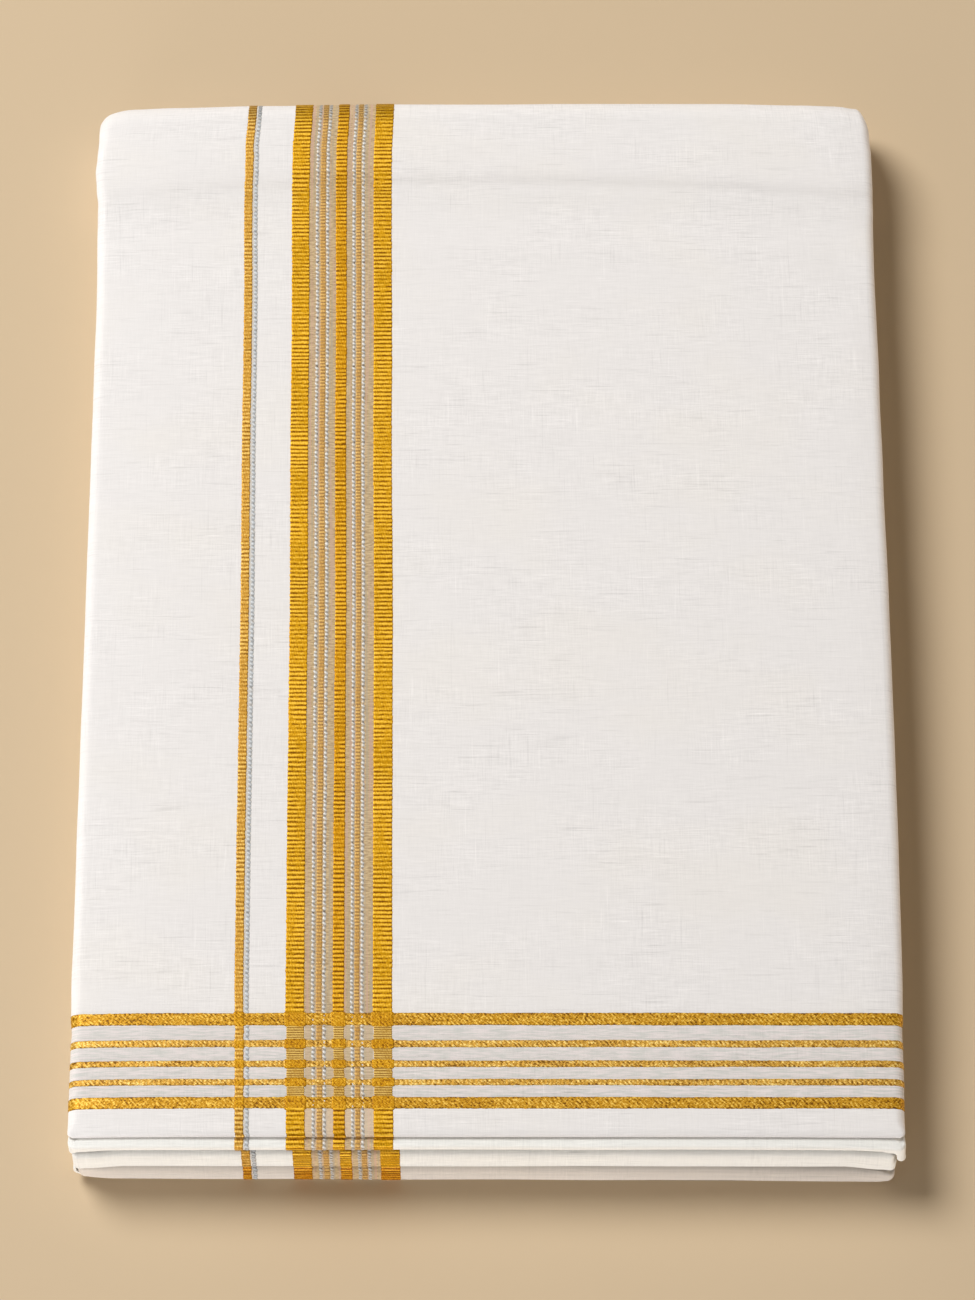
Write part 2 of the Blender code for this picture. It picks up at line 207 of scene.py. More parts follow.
class Mesh:
    """Collects grids of points into one mesh."""

    def __init__(self, name):
        self.name, self.verts, self.quads, self.polys = name, [], [], []
        self.uvs, self.mats, self.count = [], [], 0
        self.shades = []
        self.poly_uv, self.poly_mat = [], []

    def _put(self, points, uv, shade):
        n, m = points.shape[:2]
        first = self.count
        self.shades.append(np.broadcast_to(np.asarray(shade, float), (n, m)).reshape(-1))
        self.verts.append(points.reshape(-1, 3))
        self.uvs.append(uv.reshape(-1, 2))
        self.count += n * m
        return first + np.arange(n * m).reshape(n, m)

    def _faces(self, index, mat, flip=False):
        a, b, c, d = index[:-1, :-1], index[1:, :-1], index[1:, 1:], index[:-1, 1:]
        order = (a, d, c, b) if flip else (a, b, c, d)
        faces = np.stack([o.reshape(-1) for o in order], axis=1)
        self.quads.append(faces)
        self.mats.append(np.full(len(faces), mat))

    def shell(self, outer, inner, uv, mat=0, shade=0.0):
        """A closed thin wall between two grids of the same shape."""
        a, b = self._put(outer, uv, shade), self._put(inner, uv, shade)
        self._faces(a, mat)
        self._faces(b, mat, True)
        for p, q in (
            (a[0, :], b[0, :]),
            (b[-1, :], a[-1, :]),
            (b[:, 0], a[:, 0]),
            (a[:, -1], b[:, -1]),
        ):
            self._faces(np.stack([p, q]), mat)

    def strip(self, points, uv, mat=0, shade=0.0):
        """A raised strip, closed by a chord below it and a cap at each end. Its
        rows run across it, and its edges lie in the cloth."""
        a = self._put(points, uv, shade)
        self._faces(a, mat)
        self._faces(np.stack([a[:, 0], a[:, -1]], axis=1), mat, True)
        for ring in (a[0, ::-1], a[-1, :]):
            self.polys.append([int(v) for v in ring])
            self.poly_mat.append(mat)

    def build(self, materials, flip=False):
        verts = np.concatenate(self.verts)
        uvs = np.concatenate(self.uvs)
        quads = np.concatenate(self.quads)
        mats = np.concatenate(self.mats)
        if flip:
            quads = quads[:, ::-1]
        loops = [quads.reshape(-1)]
        totals = [np.full(len(quads), 4)]
        for p in self.polys:
            loops.append(np.array(p[::-1] if flip else p))
            totals.append(np.array([len(p)]))
        loops, totals = np.concatenate(loops), np.concatenate(totals)
        mats = np.concatenate([mats, np.array(self.poly_mat, int)]) if self.polys else mats
        data = bpy.data.meshes.new(self.name)
        data.vertices.add(len(verts))
        data.vertices.foreach_set("co", verts.astype(np.float32).ravel())
        data.loops.add(len(loops))
        data.loops.foreach_set("vertex_index", loops.astype(np.int32))
        data.polygons.add(len(totals))
        data.polygons.foreach_set("loop_start", (np.cumsum(totals) - totals).astype(np.int32))
        data.polygons.foreach_set("loop_total", totals.astype(np.int32))
        data.update(calc_edges=True)
        layer = data.uv_layers.new(name="weave")
        layer.data.foreach_set("uv", uvs[loops].astype(np.float32).ravel())
        # painted shade for each place (in creases, along the lips, at the far fold) and the zari's dark edge marks
        painted_shade_and_edge_marks = np.concatenate(self.shades)[loops]
        layer = data.uv_layers.new(name="painted_shade_and_edge_marks")
        layer.data.foreach_set("uv", np.stack([painted_shade_and_edge_marks, painted_shade_and_edge_marks], axis=1).astype(np.float32).ravel())
        for m in materials:
            data.materials.append(m)
        data.polygons.foreach_set("material_index", mats.astype(np.int32))
        data.shade_smooth()
        data.set_sharp_from_angle(angle=radians(62))
        data.validate()
        piece = bpy.data.objects.new(self.name, data)
        bpy.context.scene.collection.objects.link(piece)
        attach(piece, "root")
        return piece


def facing(surface, a, b, da, db):
    """Points of a surface with its outward normals, from small steps."""
    p = surface(a, b)
    ta = surface(a + da, b) - surface(a - da, b)
    tb = surface(a, b + db) - surface(a, b - db)
    n = np.cross(ta, tb)
    n /= np.maximum(np.linalg.norm(n, axis=-1, keepdims=True), 1e-15)
    return p, n


# ----------------------------------------------------------- the top stretch
# turn (degrees round the far fold, minus mm before it), then depth left/right,
# wide left/right, tall left/right of the turned-down sides
TOP_TURNS = [
    (-14.0, 0.0030, 0.0030, 0.0034, 0.0030, 0.0028, 0.0028),
    (-2.0, 0.0054, 0.0054, 0.0042, 0.0030, 0.0030, 0.0034),
    (20.0, 0.0074, 0.0074, 0.0054, 0.0030, 0.0034, 0.0044),
    (60.0, 0.0106, 0.0106, 0.0068, 0.0034, 0.0042, 0.0062),
    (120.0, 0.0110, 0.0110, 0.0060, 0.0036, 0.0042, 0.0056),
    (180.0, 0.0086, 0.0086, 0.0050, 0.0040, 0.0040, 0.0044),
]
FLAT_LENGTH = ROLL_Y - (TOP_FRONT + FRONT_TURN)
HALF_TURN = pi * FRONT_TURN
OVER_ROLL = pi * ROLL
# soft creases of the rolled fold: degrees round it, from x, to x, depth, width
# in degrees, slant in degrees across the whole width
ROLL_CREASES = [
    (62.0, -0.118, 0.020, 0.00030, 9.0, -7.0),
    (78.0, -0.020, 0.126, 0.00036, 8.0, 9.0),
    (97.0, -0.126, -0.030, 0.00042, 9.0, 8.0),
    (104.0, 0.006, 0.112, 0.00026, 7.0, -6.0),
    (128.0, -0.090, 0.070, 0.00034, 10.0, 5.0),
    (150.0, 0.030, 0.126, 0.00028, 8.0, -9.0),
    (146.0, -0.124, -0.050, 0.00024, 8.0, 6.0),
]
# short slanting puckers near the roll's corners: x, degrees, reach x, reach
# degrees, lean (mm of x per degree), depth
ROLL_PUCKERS = [
    (-0.1235, 104.0, 0.0022, 20.0, 0.00008, 0.00036),
    (-0.1160, 108.0, 0.0018, 22.0, -0.00006, 0.00030),
    (0.1245, 102.0, 0.0020, 18.0, -0.00007, 0.00034),
    (0.1180, 104.0, 0.0020, 22.0, 0.00006, 0.00030),
    (-0.1240, 118.0, 0.0020, 20.0, 0.00005, 0.00032),
    (0.1248, 126.0, 0.0018, 22.0, -0.00005, 0.00034),
]


def top_path(s):
    """The sweep's line: s is 0 where the flat top starts at the front."""
    under = s - FLAT_LENGTH - OVER_ROLL
    fold = np.clip(-s, 0, HALF_TURN) / FRONT_TURN
    tuck = np.maximum(0.0, -s - HALF_TURN)
    roll = np.clip(s - FLAT_LENGTH, 0, OVER_ROLL) / ROLL
    y = TOP_FRONT + FRONT_TURN + np.clip(s, 0, FLAT_LENGTH)
    y = y - FRONT_TURN * np.sin(fold) + tuck + ROLL * np.sin(roll) - np.maximum(0.0, under)
    z = STACK_HEIGHT - FRONT_TURN * (1 - np.cos(fold)) - ROLL * (1 - np.cos(roll))
    return y, z, roll - fold


def top_sides(s):
    y, z, angle = top_path(s)
    turn = np.where(s > FLAT_LENGTH, np.degrees(angle), (y - ROLL_Y) * 1000)
    dl, dr, wl, wr, tl, tr = np.moveaxis(eased(TOP_TURNS, np.minimum(turn, 180.0)), -1, 0)
    # the turned-down sides run out into the front fold's round corner
    keep = ramp(s, -0.0004, 0.0052)
    least = FRONT_TURN * 0.96
    dl, dr = least + (dl - least) * keep, least + (dr - least) * keep
    tl, tr = np.minimum(tl, dl * 0.97), np.minimum(tr, dr * 0.97)
    wl = 0.0012 + (wl - 0.0012) * keep
    wr = 0.0012 + (wr - 0.0012) * keep
    return y, z, angle, dl, dr, wl, wr, tl, tr


def top_surface(c, s):
    """c runs across: 0..1 left turn-down, 1..2 its round, 2..3 the flat, 3..4
    the right round, 4..5 the right turn-down."""
    c, s = np.broadcast_arrays(np.asarray(c, float), np.asarray(s, float))
    y, z, angle, dl, dr, wl, wr, tl, tr = top_sides(s)
    half = STACK_WIDTH / 2
    # the front fold's corners are rounded in plan
    tuck_in = 0.0009 * ramp(-s, -0.0010, 0.0016)
    left, right = -half + tuck_in, half - tuck_in
    a0 = np.clip(c, 0, 1)
    a1 = np.clip(c - 1, 0, 1) * pi / 2
    a2 = np.clip(c - 2, 0, 1)
    a3 = np.clip(c - 3, 0, 1) * pi / 2
    a4 = np.clip(c - 4, 0, 1)
    x = np.where(
        c <= 1, left,
        np.where(
            c <= 2, left + wl * (1 - np.cos(a1)),
            np.where(
                c <= 3, left + wl + (right - wr - left - wl) * a2,
                np.where(c <= 4, right - wr + wr * np.sin(a3), right),
            ),
        ),
    )
    depth = np.where(
        c <= 1, -dl + (dl - tl) * a0,
        np.where(
            c <= 2, -tl * (1 - np.sin(a1)),
            np.where(
                c <= 3, 0.0,
                np.where(c <= 4, -tr * (1 - np.cos(a3)), -tr - (dr - tr) * a4),
            ),
        ),
    )
    round_it = np.degrees(angle)
    dent = np.zeros_like(x)
    for at, x0, x1, deep, wide, slant in ROLL_CREASES:
        line = at + slant * x / STACK_WIDTH * 2
        reach = ramp(x, x0 - 0.006, x0 + 0.022) * ramp(-x, -x1 - 0.006, -x1 + 0.022)
        g = (round_it - line) / wide
        dent = dent + deep * reach * np.exp(-g * g) - 0.35 * deep * reach * np.exp(-((g - 1.5) ** 2))
    for px, at, rx, ra, lean, deep in ROLL_PUCKERS:
        g = (x - px - lean * (round_it - at)) / rx
        dent = dent + deep * np.exp(-g * g - ((round_it - at) / ra) ** 2)
    # sides stay a little uneven along their run
    side = np.where(c < 2, 1.0, 0.0) * (1 - ramp(c, 1.0, 2.0)) + np.where(c > 3, ramp(c, 3.0, 4.0), 0.0)
    x = x + side * 0.00010 * noise(s / 0.017, c > 2.5, 21) * np.where(c < 2.5, 1, -1)
    depth = depth - dent * np.where((round_it > 15) & (round_it < 179.9), 1.0, 0.0) * ramp(round_it, 15, 35)
    low = np.where((c < 1) | (c > 4), 1.0, 0.0) * np.where(c < 1, 1 - a0, a4)
    depth = depth + low * 0.00045 * noise(s / 0.023, c > 2.5, 22)
    return np.stack(settle(x, y + depth * np.sin(angle), z + depth * np.cos(angle)), axis=-1)


def top_column(x, s):
    """Where across the sweep a place on its flat is."""
    _, _, _, _, _, wl, wr, _, _ = top_sides(np.asarray(s, float))
    half = STACK_WIDTH / 2
    left, right = -half + wl, half - wr
    return 2 + (x - left) / (right - left)


def top_along(y):
    """The sweep's length at a place on its flat."""
    return y - (TOP_FRONT + FRONT_TURN)


# ----------------------------------------------------------- the front folds
# Each: how its low and high edges, rounds, lean and lip change along it. The
# place is along the fold's line: 0 in the middle of the front, minus to the
# left, plus to the right, and on round the corners and back along the sides.
TURN = CORNER * pi / 2


class Fold:
    def __init__(self, front, left, right, sections, fronts):
        self.fronts, self.left, self.right = fronts, left, right
        self.front = front
        self.xl, self.xr = left[0][1] - CORNER, right[0][1] - CORNER
        self.sections = []
        for place, along, *rest in sections:
            self.sections.append((self.place(place, along), *rest))
        self.sections.sort()

    def place(self, place, along):
        if place == "front":
            return along
        back = along - (self.front + CORNER)
        return -(self.xl + TURN + back) if place == "left" else self.xr + TURN + back


UPPER = Fold(
    -0.1880,
    [(-0.1860, 0.1299), (-0.1790, 0.1290), (-0.1500, 0.1288), (0.1510, 0.1288), (0.1600, 0.1282), (0.1760, 0.1281)],
    [(-0.1860, 0.1311), (-0.1820, 0.1304), (-0.1760, 0.1299), (-0.0600, 0.1296), (0.1420, 0.1294), (0.1520, 0.1292), (0.1600, 0.1282), (0.1760, 0.1281)],
    # place, along, low, high, round low, round high, lean, lip
    [
        ("left", 0.1760, 0.02040, 0.02215, 0.0006, 0.0006, 0.0, BAND_REACH),
        ("left", 0.0600, 0.02030, 0.02215, 0.0006, 0.0006, 0.0, BAND_REACH),
        ("left", -0.1640, 0.02030, 0.02215, 0.0006, 0.0006, 0.0, BAND_REACH),
        ("left", -0.1740, 0.01890, 0.02230, 0.0005, 0.0006, 0.0, 0.0014),
        ("left", -0.1850, 0.01670, 0.02370, 0.0004, 0.0006, 0.0, 0.0007),
        ("front", -0.1292, 0.01760, 0.02390, 0.0004, 0.0008, 0.0, 0.0007),
        ("front", -0.1280, 0.01930, 0.02400, 0.0005, 0.0010, 0.0, 0.0010),
        ("front", -0.1268, 0.01990, 0.02400, 0.0008, 0.0010, 0.0, 0.0016),
        ("front", -0.1160, 0.02030, 0.02400, 0.0014, 0.0012, 0.0, BAND_REACH),
        ("front", 0.1180, 0.02040, 0.02400, 0.0014, 0.0012, 0.0, BAND_REACH),
        ("front", 0.1262, 0.01965, 0.02400, 0.0010, 0.0012, 0.0, 0.0030),
        ("front", 0.1275, 0.01935, 0.02400, 0.0005, 0.0012, 0.0, 0.0014),
        ("front", 0.1282, 0.01440, 0.02400, 0.0004, 0.0012, 0.0002, 0.0010),
        ("front", 0.1298, 0.01310, 0.02390, 0.0004, 0.0012, 0.0005, 0.0010),
        ("front", 0.1314, 0.01230, 0.02390, 0.0004, 0.0010, 0.0008, 0.0010),
        ("right", -0.1850, 0.01200, 0.02370, 0.0004, 0.0008, 0.0007, 0.0012),
        ("right", -0.1740, 0.01480, 0.02215, 0.0004, 0.0006, 0.0001, HANG_LIP),
        ("right", -0.1500, 0.01610, 0.02215, 0.0004, 0.0006, 0.0, HANG_LIP),
        ("right", -0.0600, 0.01650, 0.02215, 0.0004, 0.0006, 0.0, HANG_LIP),
        ("right", 0.0600, 0.01580, 0.02215, 0.0004, 0.0006, 0.0, HANG_LIP),
        ("right", 0.1420, 0.01660, 0.02215, 0.0004, 0.0006, 0.0, HANG_LIP),
        ("right", 0.1520, 0.02040, 0.02215, 0.0006, 0.0006, 0.0, HANG_LIP),
        ("right", 0.1600, 0.02040, 0.02215, 0.0006, 0.0006, 0.0, BAND_REACH),
        ("right", 0.1760, 0.02040, 0.02215, 0.0006, 0.0006, 0.0, BAND_REACH),
    ],
    [(-0.124, -0.1880), (0.112, -0.1880), (0.1262, -0.1884), (0.1290, -0.1888)],
)
MIDDLE = Fold(
    -0.1897,
    [(-0.1870, 0.1291), (-0.1700, 0.1284), (0.0600, 0.1281), (0.1830, 0.1276)],
    [(-0.1870, 0.1283), (-0.1700, 0.1278), (0.0600, 0.1274), (0.1830, 0.1272)],
    [
        ("left", 0.1830, 0.00930, 0.02005, 0.0030, 0.0030, 0.0, BAND_REACH),
        ("left", -0.1700, 0.00930, 0.02005, 0.0030, 0.0030, 0.0, BAND_REACH),
        ("left", -0.1860, 0.00790, 0.01930, 0.0008, 0.0016, 0.0, BAND_REACH),
        ("front", -0.1245, 0.00860, 0.01950, 0.0012, 0.0020, 0.0004, BAND_REACH),
        ("front", -0.1120, 0.00930, 0.02005, 0.0022, 0.0026, 0.0011, BAND_REACH),
        ("front", -0.0600, 0.00930, 0.02005, 0.0022, 0.0026, 0.0012, BAND_REACH),
        ("front", 0.0600, 0.00930, 0.02005, 0.0022, 0.0026, 0.0012, BAND_REACH),
        ("front", 0.1110, 0.00910, 0.02005, 0.0022, 0.0026, 0.0011, BAND_REACH),
        ("front", 0.1235, 0.00740, 0.01980, 0.0010, 0.0022, 0.0004, BAND_REACH),
        ("right", -0.1870, 0.00560, 0.01900, 0.0008, 0.0016, 0.0, BAND_REACH),
        ("right", -0.1700, 0.00930, 0.02005, 0.0030, 0.0030, 0.0, BAND_REACH),
        ("right", 0.1830, 0.00930, 0.02005, 0.0030, 0.0030, 0.0, BAND_REACH),
    ],
    [(-0.125, -0.1897), (-0.060, -0.1898), (0.060, -0.1898), (0.123, -0.1897)],
)
LOWER = Fold(
    -0.1907,
    [(-0.1870, 0.1279), (-0.1650, 0.1276), (-0.0700, 0.1274), (0.0600, 0.1277), (0.1780, 0.1272)],
    [(-0.1870, 0.1281), (-0.1650, 0.1271), (-0.0700, 0.1266), (0.0600, 0.1268), (0.1780, 0.1264)],
    [
        ("left", 0.1780, 0.00520, 0.00895, 0.0016, 0.0016, 0.0, BAND_REACH),
        ("left", -0.1650, 0.00520, 0.00895, 0.0016, 0.0016, 0.0, BAND_REACH),
        ("left", -0.1870, 0.00480, 0.00760, 0.0006, 0.0008, 0.0, BAND_REACH),
        ("front", -0.1255, 0.00195, 0.00800, 0.0006, 0.0010, 0.0004, BAND_REACH),
        ("front", -0.1225, 0.00120, 0.00830, 0.0006, 0.0018, 0.0007, BAND_REACH),
        ("front", -0.1150, 0.00095, 0.00885, 0.0006, 0.0028, 0.0013, BAND_REACH),
        ("front", -0.0600, 0.00090, 0.00895, 0.0006, 0.0032, 0.0016, BAND_REACH),
        ("front", 0.0600, 0.00090, 0.00895, 0.0006, 0.0032, 0.0016, BAND_REACH),
        ("front", 0.1130, 0.00095, 0.00860, 0.0006, 0.0028, 0.0014, BAND_REACH),
        ("front", 0.1226, 0.00100, 0.00730, 0.0006, 0.0016, 0.0008, BAND_REACH),
        ("front", 0.1254, 0.00115, 0.00630, 0.0006, 0.0010, 0.0004, BAND_REACH),
        ("front", 0.1280, 0.00200, 0.00565, 0.0006, 0.0008, 0.0002, BAND_REACH),
        ("right", -0.1870, 0.00310, 0.00535, 0.0005, 0.0006, 0.0, BAND_REACH),
        ("right", -0.1650, 0.00530, 0.00895, 0.0016, 0.0016, 0.0, BAND_REACH),
        ("right", 0.1780, 0.00530, 0.00895, 0.0016, 0.0016, 0.0, BAND_REACH),
    ],
    [(-0.1255, -0.1899), (-0.117, -0.1903), (-0.060, -0.1905), (0.0, -0.1907), (0.060, -0.1909), (0.114, -0.1913), (0.1226, -0.1914), (0.1257, -0.1912)],
)
# painted shade round a fold's section, darkest in the creases next to the neighbouring folds: q, depth (how much
# darker)
UPPER_CREASE_SHADE = [(0.0, 0.55), (1.0, 0.52), (1.5, 0.34), (1.85, 0.10), (2.1, 0.0), (4.43, 0.0), (4.60, 0.06), (4.76, 0.17), (5.0, 0.42)]
MIDDLE_CREASE_SHADE = [(0.0, 0.55), (1.0, 0.55), (1.65, 0.34), (1.95, 0.04), (2.1, 0.0), (2.6, 0.01), (3.1, 0.08), (3.6, 0.25), (4.0, 0.47), (5.0, 0.60)]
LOWER_CREASE_SHADE = [(0.0, 0.45), (1.0, 0.16), (1.6, 0.02), (2.2, 0.03), (2.8, 0.11), (3.2, 0.20), (3.6, 0.34), (4.0, 0.50), (5.0, 0.60)]


def side_plies(fold, p, z, low, high, seed, pitch, uneven=1.0):
    """The folded edges of the plies along the sides: rounded ridges, each set
    in by its own uneven amount."""
    fade = ramp(np.abs(p), np.where(p < 0, fold.xl, fold.xr) - 0.001, np.where(p < 0, fold.xl, fold.xr) + 0.010)
    wander = 0.25 * noise(p / 0.060, 0.0, seed + 3)
    k = (z - low) / pitch + wander
    i = np.floor(k)
    f = k - i
    ridge = 1 - np.sqrt(np.maximum(0.0, 1 - (2 * f - 1) ** 2))
    inset = 0.00016 + uneven * 0.00028 * (noise(p / 0.045, i * 7.3, seed) * 0.5 + 0.5) * (0.4 + 0.6 * (noise(i * 3.1, 0.0, seed + 9) * 0.5 + 0.5))
    inside = ramp(z, low + 0.0001, low + pitch) * ramp(-z, -high + 0.0001, -high + pitch)
    return fade * inside * (inset + 0.00042 * ridge)


def fold_surface(fold, seed, pitch, front_dents, uneven=1.0):
    """A fold's outer face: p along it, q round its section, 0..1 lower lip,
    1..2 lower round, 2..3 face, 3..4 upper round, 4..5 upper lip."""

    def surface(p, q, inset=0.0):
        p, q = np.broadcast_arrays(np.asarray(p, float), np.asarray(q, float))
        low, high, rl, rh, lean, lip = np.moveaxis(eased(fold.sections, p), -1, 0)
        q0, q1 = np.clip(q, 0, 1), np.clip(q - 1, 0, 1) * pi / 2
        q2, q3 = np.clip(q - 2, 0, 1), np.clip(q - 3, 0, 1) * pi / 2
        q4 = np.clip(q - 4, 0, 1)
        o = np.where(
            q <= 1, lip + (rl - lip) * q0,
            np.where(q <= 2, rl * (1 - np.sin(q1)), np.where(q <= 3, 0.0, np.where(q <= 4, rh * (1 - np.cos(q3)), rh + (BAND_REACH - rh) * q4))),
        )
        z = np.where(
            q <= 1, low,
            np.where(q <= 2, low + rl * (1 - np.cos(q1)), np.where(q <= 3, low + rl + (high - low - rl - rh) * q2, np.where(q <= 4, high - rh * (1 - np.sin(q3)), high))),
        )
        o = o + lean * (z - low) / (high - low)
        o = o + side_plies(fold, p, z, low, high, seed, pitch, uneven) * ramp(-o, -0.0040, -0.0030)
        o = o + front_dents(p, z, low, high)
        # a little waviness of the face and of the height of its edges
        o = o + 0.00010 * noise(p / 0.031, z / 0.008, seed + 1) + 0.00005
        z = z + 0.00009 * noise(p / 0.037, 0.0, seed + 2)
        # set in for the shell's inner face
        if inset:
            mid = (low + high) / 2
            o = o + inset * np.where(q < 4, 1.0, 1.0)
            z = mid + (z - mid) * (1 - 2 * inset / np.maximum(high - low, 4 * inset))
        side_y = np.abs(p) - np.where(p < 0, fold.xl, fold.xr) - TURN
        y_side = fold.front + CORNER + side_y
        xl = column(fold.left, y_side)
        xr = column(fold.right, y_side)
        yf = column(fold.fronts, p)
        r = np.maximum(CORNER_LEAST, CORNER - o)
        t = np.clip((np.abs(p) - np.where(p < 0, fold.xl, fold.xr)) / TURN, 0, 1) * pi / 2
        side_x = np.where(p < 0, xl, xr)
        reach = np.abs(p) - np.where(p < 0, fold.xl, fold.xr)
        cx = side_x - (o + r)
        cy = yf + o + r
        # straight front, round corner, straight side, each met smoothly
        slip = (o + r) - CORNER
        fx = np.abs(p) - slip * ramp(reach, -0.012, 0.0)
        fy = yf + o
        kx, ky = cx + r * np.sin(t), cy - r * np.cos(t)
        sx = side_x - o
        sy = y_side + slip * (1 - ramp(side_y, 0.0, 0.012))
        ax = np.where(reach <= 0, fx, np.where(side_y <= 0, kx, sx))
        ay = np.where(reach <= 0, fy, np.where(side_y <= 0, ky, sy))
        return np.stack(settle(np.where(p < 0, -ax, ax), ay, z), axis=-1)

    return surface


def upper_dents(p, z, low, high):
    """A second ply shows as a faint line low on the front fold, and it draws in
    under the first one in the middle."""
    on_front = ramp(-np.abs(p), -0.126, -0.120)
    line = 0.02128 + 0.00012 * noise(p / 0.05, 0.0, 61)
    cut = np.exp(-(((z - line) / 0.00020) ** 2)) * 0.00042
    held = 1 - ramp(p, -0.030, -0.012)
    under = ramp(-z, -line - 0.0001, -line + 0.0002) * (0.00060 * (1 - held) * (1 - 0.75 * np.exp(-(((p - 0.075) / 0.030) ** 2))))
    return on_front * (cut * (1 - 0.5 * held) + under)


def middle_dents(p, z, low, high):
    on_front = ramp(-np.abs(p), -0.124, -0.116)
    soft = 0.00022 * np.exp(-(((z - 0.0136 - 0.0006 * noise(p / 0.07, 0.0, 71)) / 0.0011) ** 2)) * (0.5 + 0.5 * noise(p / 0.06, 0.0, 72))
    fine = 0.00016 * np.exp(-(((z - 0.0172 + 0.0004 * noise(p / 0.05, 0.0, 73)) / 0.0005) ** 2)) * (0.5 + 0.5 * noise(p / 0.04, 1.0, 74))
    # the upper fold's end hangs down over the right corner
    over = p - MIDDLE.xr - TURN * 0.80
    over = over / np.where(over < 0, 0.0018, 0.0034)
    return on_front * (soft + fine) + 0.0008 * np.exp(-over * over) * ramp(z, 0.0112, 0.0138)


def lower_dents(p, z, low, high):
    on_front = ramp(-np.abs(p), -0.120, -0.110)
    line = 0.0042 + 0.0003 * noise(p / 0.06, 0.0, 81)
    return on_front * 0.00030 * np.exp(-(((z - line) / 0.0004) ** 2)) * (0.6 + 0.4 * noise(p / 0.05, 0.0, 82))


upper_face = fold_surface(UPPER, 300, 0.00088, upper_dents, 0.15)
middle_face = fold_surface(MIDDLE, 400, 0.00098, middle_dents)
lower_face = fold_surface(LOWER, 500, 0.00094, lower_dents)

# ------------------------------------------------------------ woven pattern
# how far the long borders wander across the cloth on their way: y, x
DRIFT = [
    (-0.1920, 0.00140),
    (-0.1830, 0.00132),
    (-0.1360, 0.00067),
    (-0.0700, 0.00029),
    (-0.0210, 0.0),
    (0.0730, -0.00097),
    (0.1480, -0.00148),
    (0.1900, -0.00147),
]
LOWER_DRIFT = 0.0033       # the lower bundle lies that much further right
# border columns across the cloth: kind, from x, to x (mm)
BORDER = [
    ("gold_thin", -79.50, -76.64),
    ("silver_thin", -76.50, -74.65),
    ("gold", -63.60, -57.65),
    ("silver", -55.80, -54.30),
    ("gold_line", -54.10, -52.25),
    ("silver", -52.30, -50.85),
    ("gold", -48.95, -45.20),
    ("silver", -43.55, -42.15),
    ("gold_line", -42.15, -40.45),
    ("silver", -40.40, -38.95),
    ("gold", -36.40, -30.22),
]
# the end band's stripes: from y, to y (mm) on the top
END_STRIPES = [
    (-143.92, -148.18),
    (-153.02, -155.55),
    (-159.84, -162.12),
    (-165.96, -168.20),
    (-171.92, -175.90),
]


def drift_at(y):
    return column(DRIFT, y)


# how far the border slants to the right over the far fold: x, metres
FAR_SLANT = [(-0.130, 0.0010), (-0.079, 0.0010), (-0.060, 0.0008), (-0.034, 0.0005), (0.020, 0.0002), (0.130, 0.0)]
# and how far it is pushed right just before that fold: x, metres
FAR_EARLY = [(-0.130, 0.0009), (-0.079, 0.0009), (-0.060, 0.0005), (-0.034, 0.0001), (0.020, 0.0), (0.130, 0.0)]


def far_slant(x, s):
    """The border's slant where the cloth turns down at the far fold."""
    early = (s - FLAT_LENGTH + 0.0165) / 0.0085
    return column(FAR_SLANT, x) * ramp(s, FLAT_LENGTH - 0.0130, FLAT_LENGTH + 0.0040) + column(FAR_EARLY, x) * np.exp(-early * early)


# --------------------------------------------------------------- materials


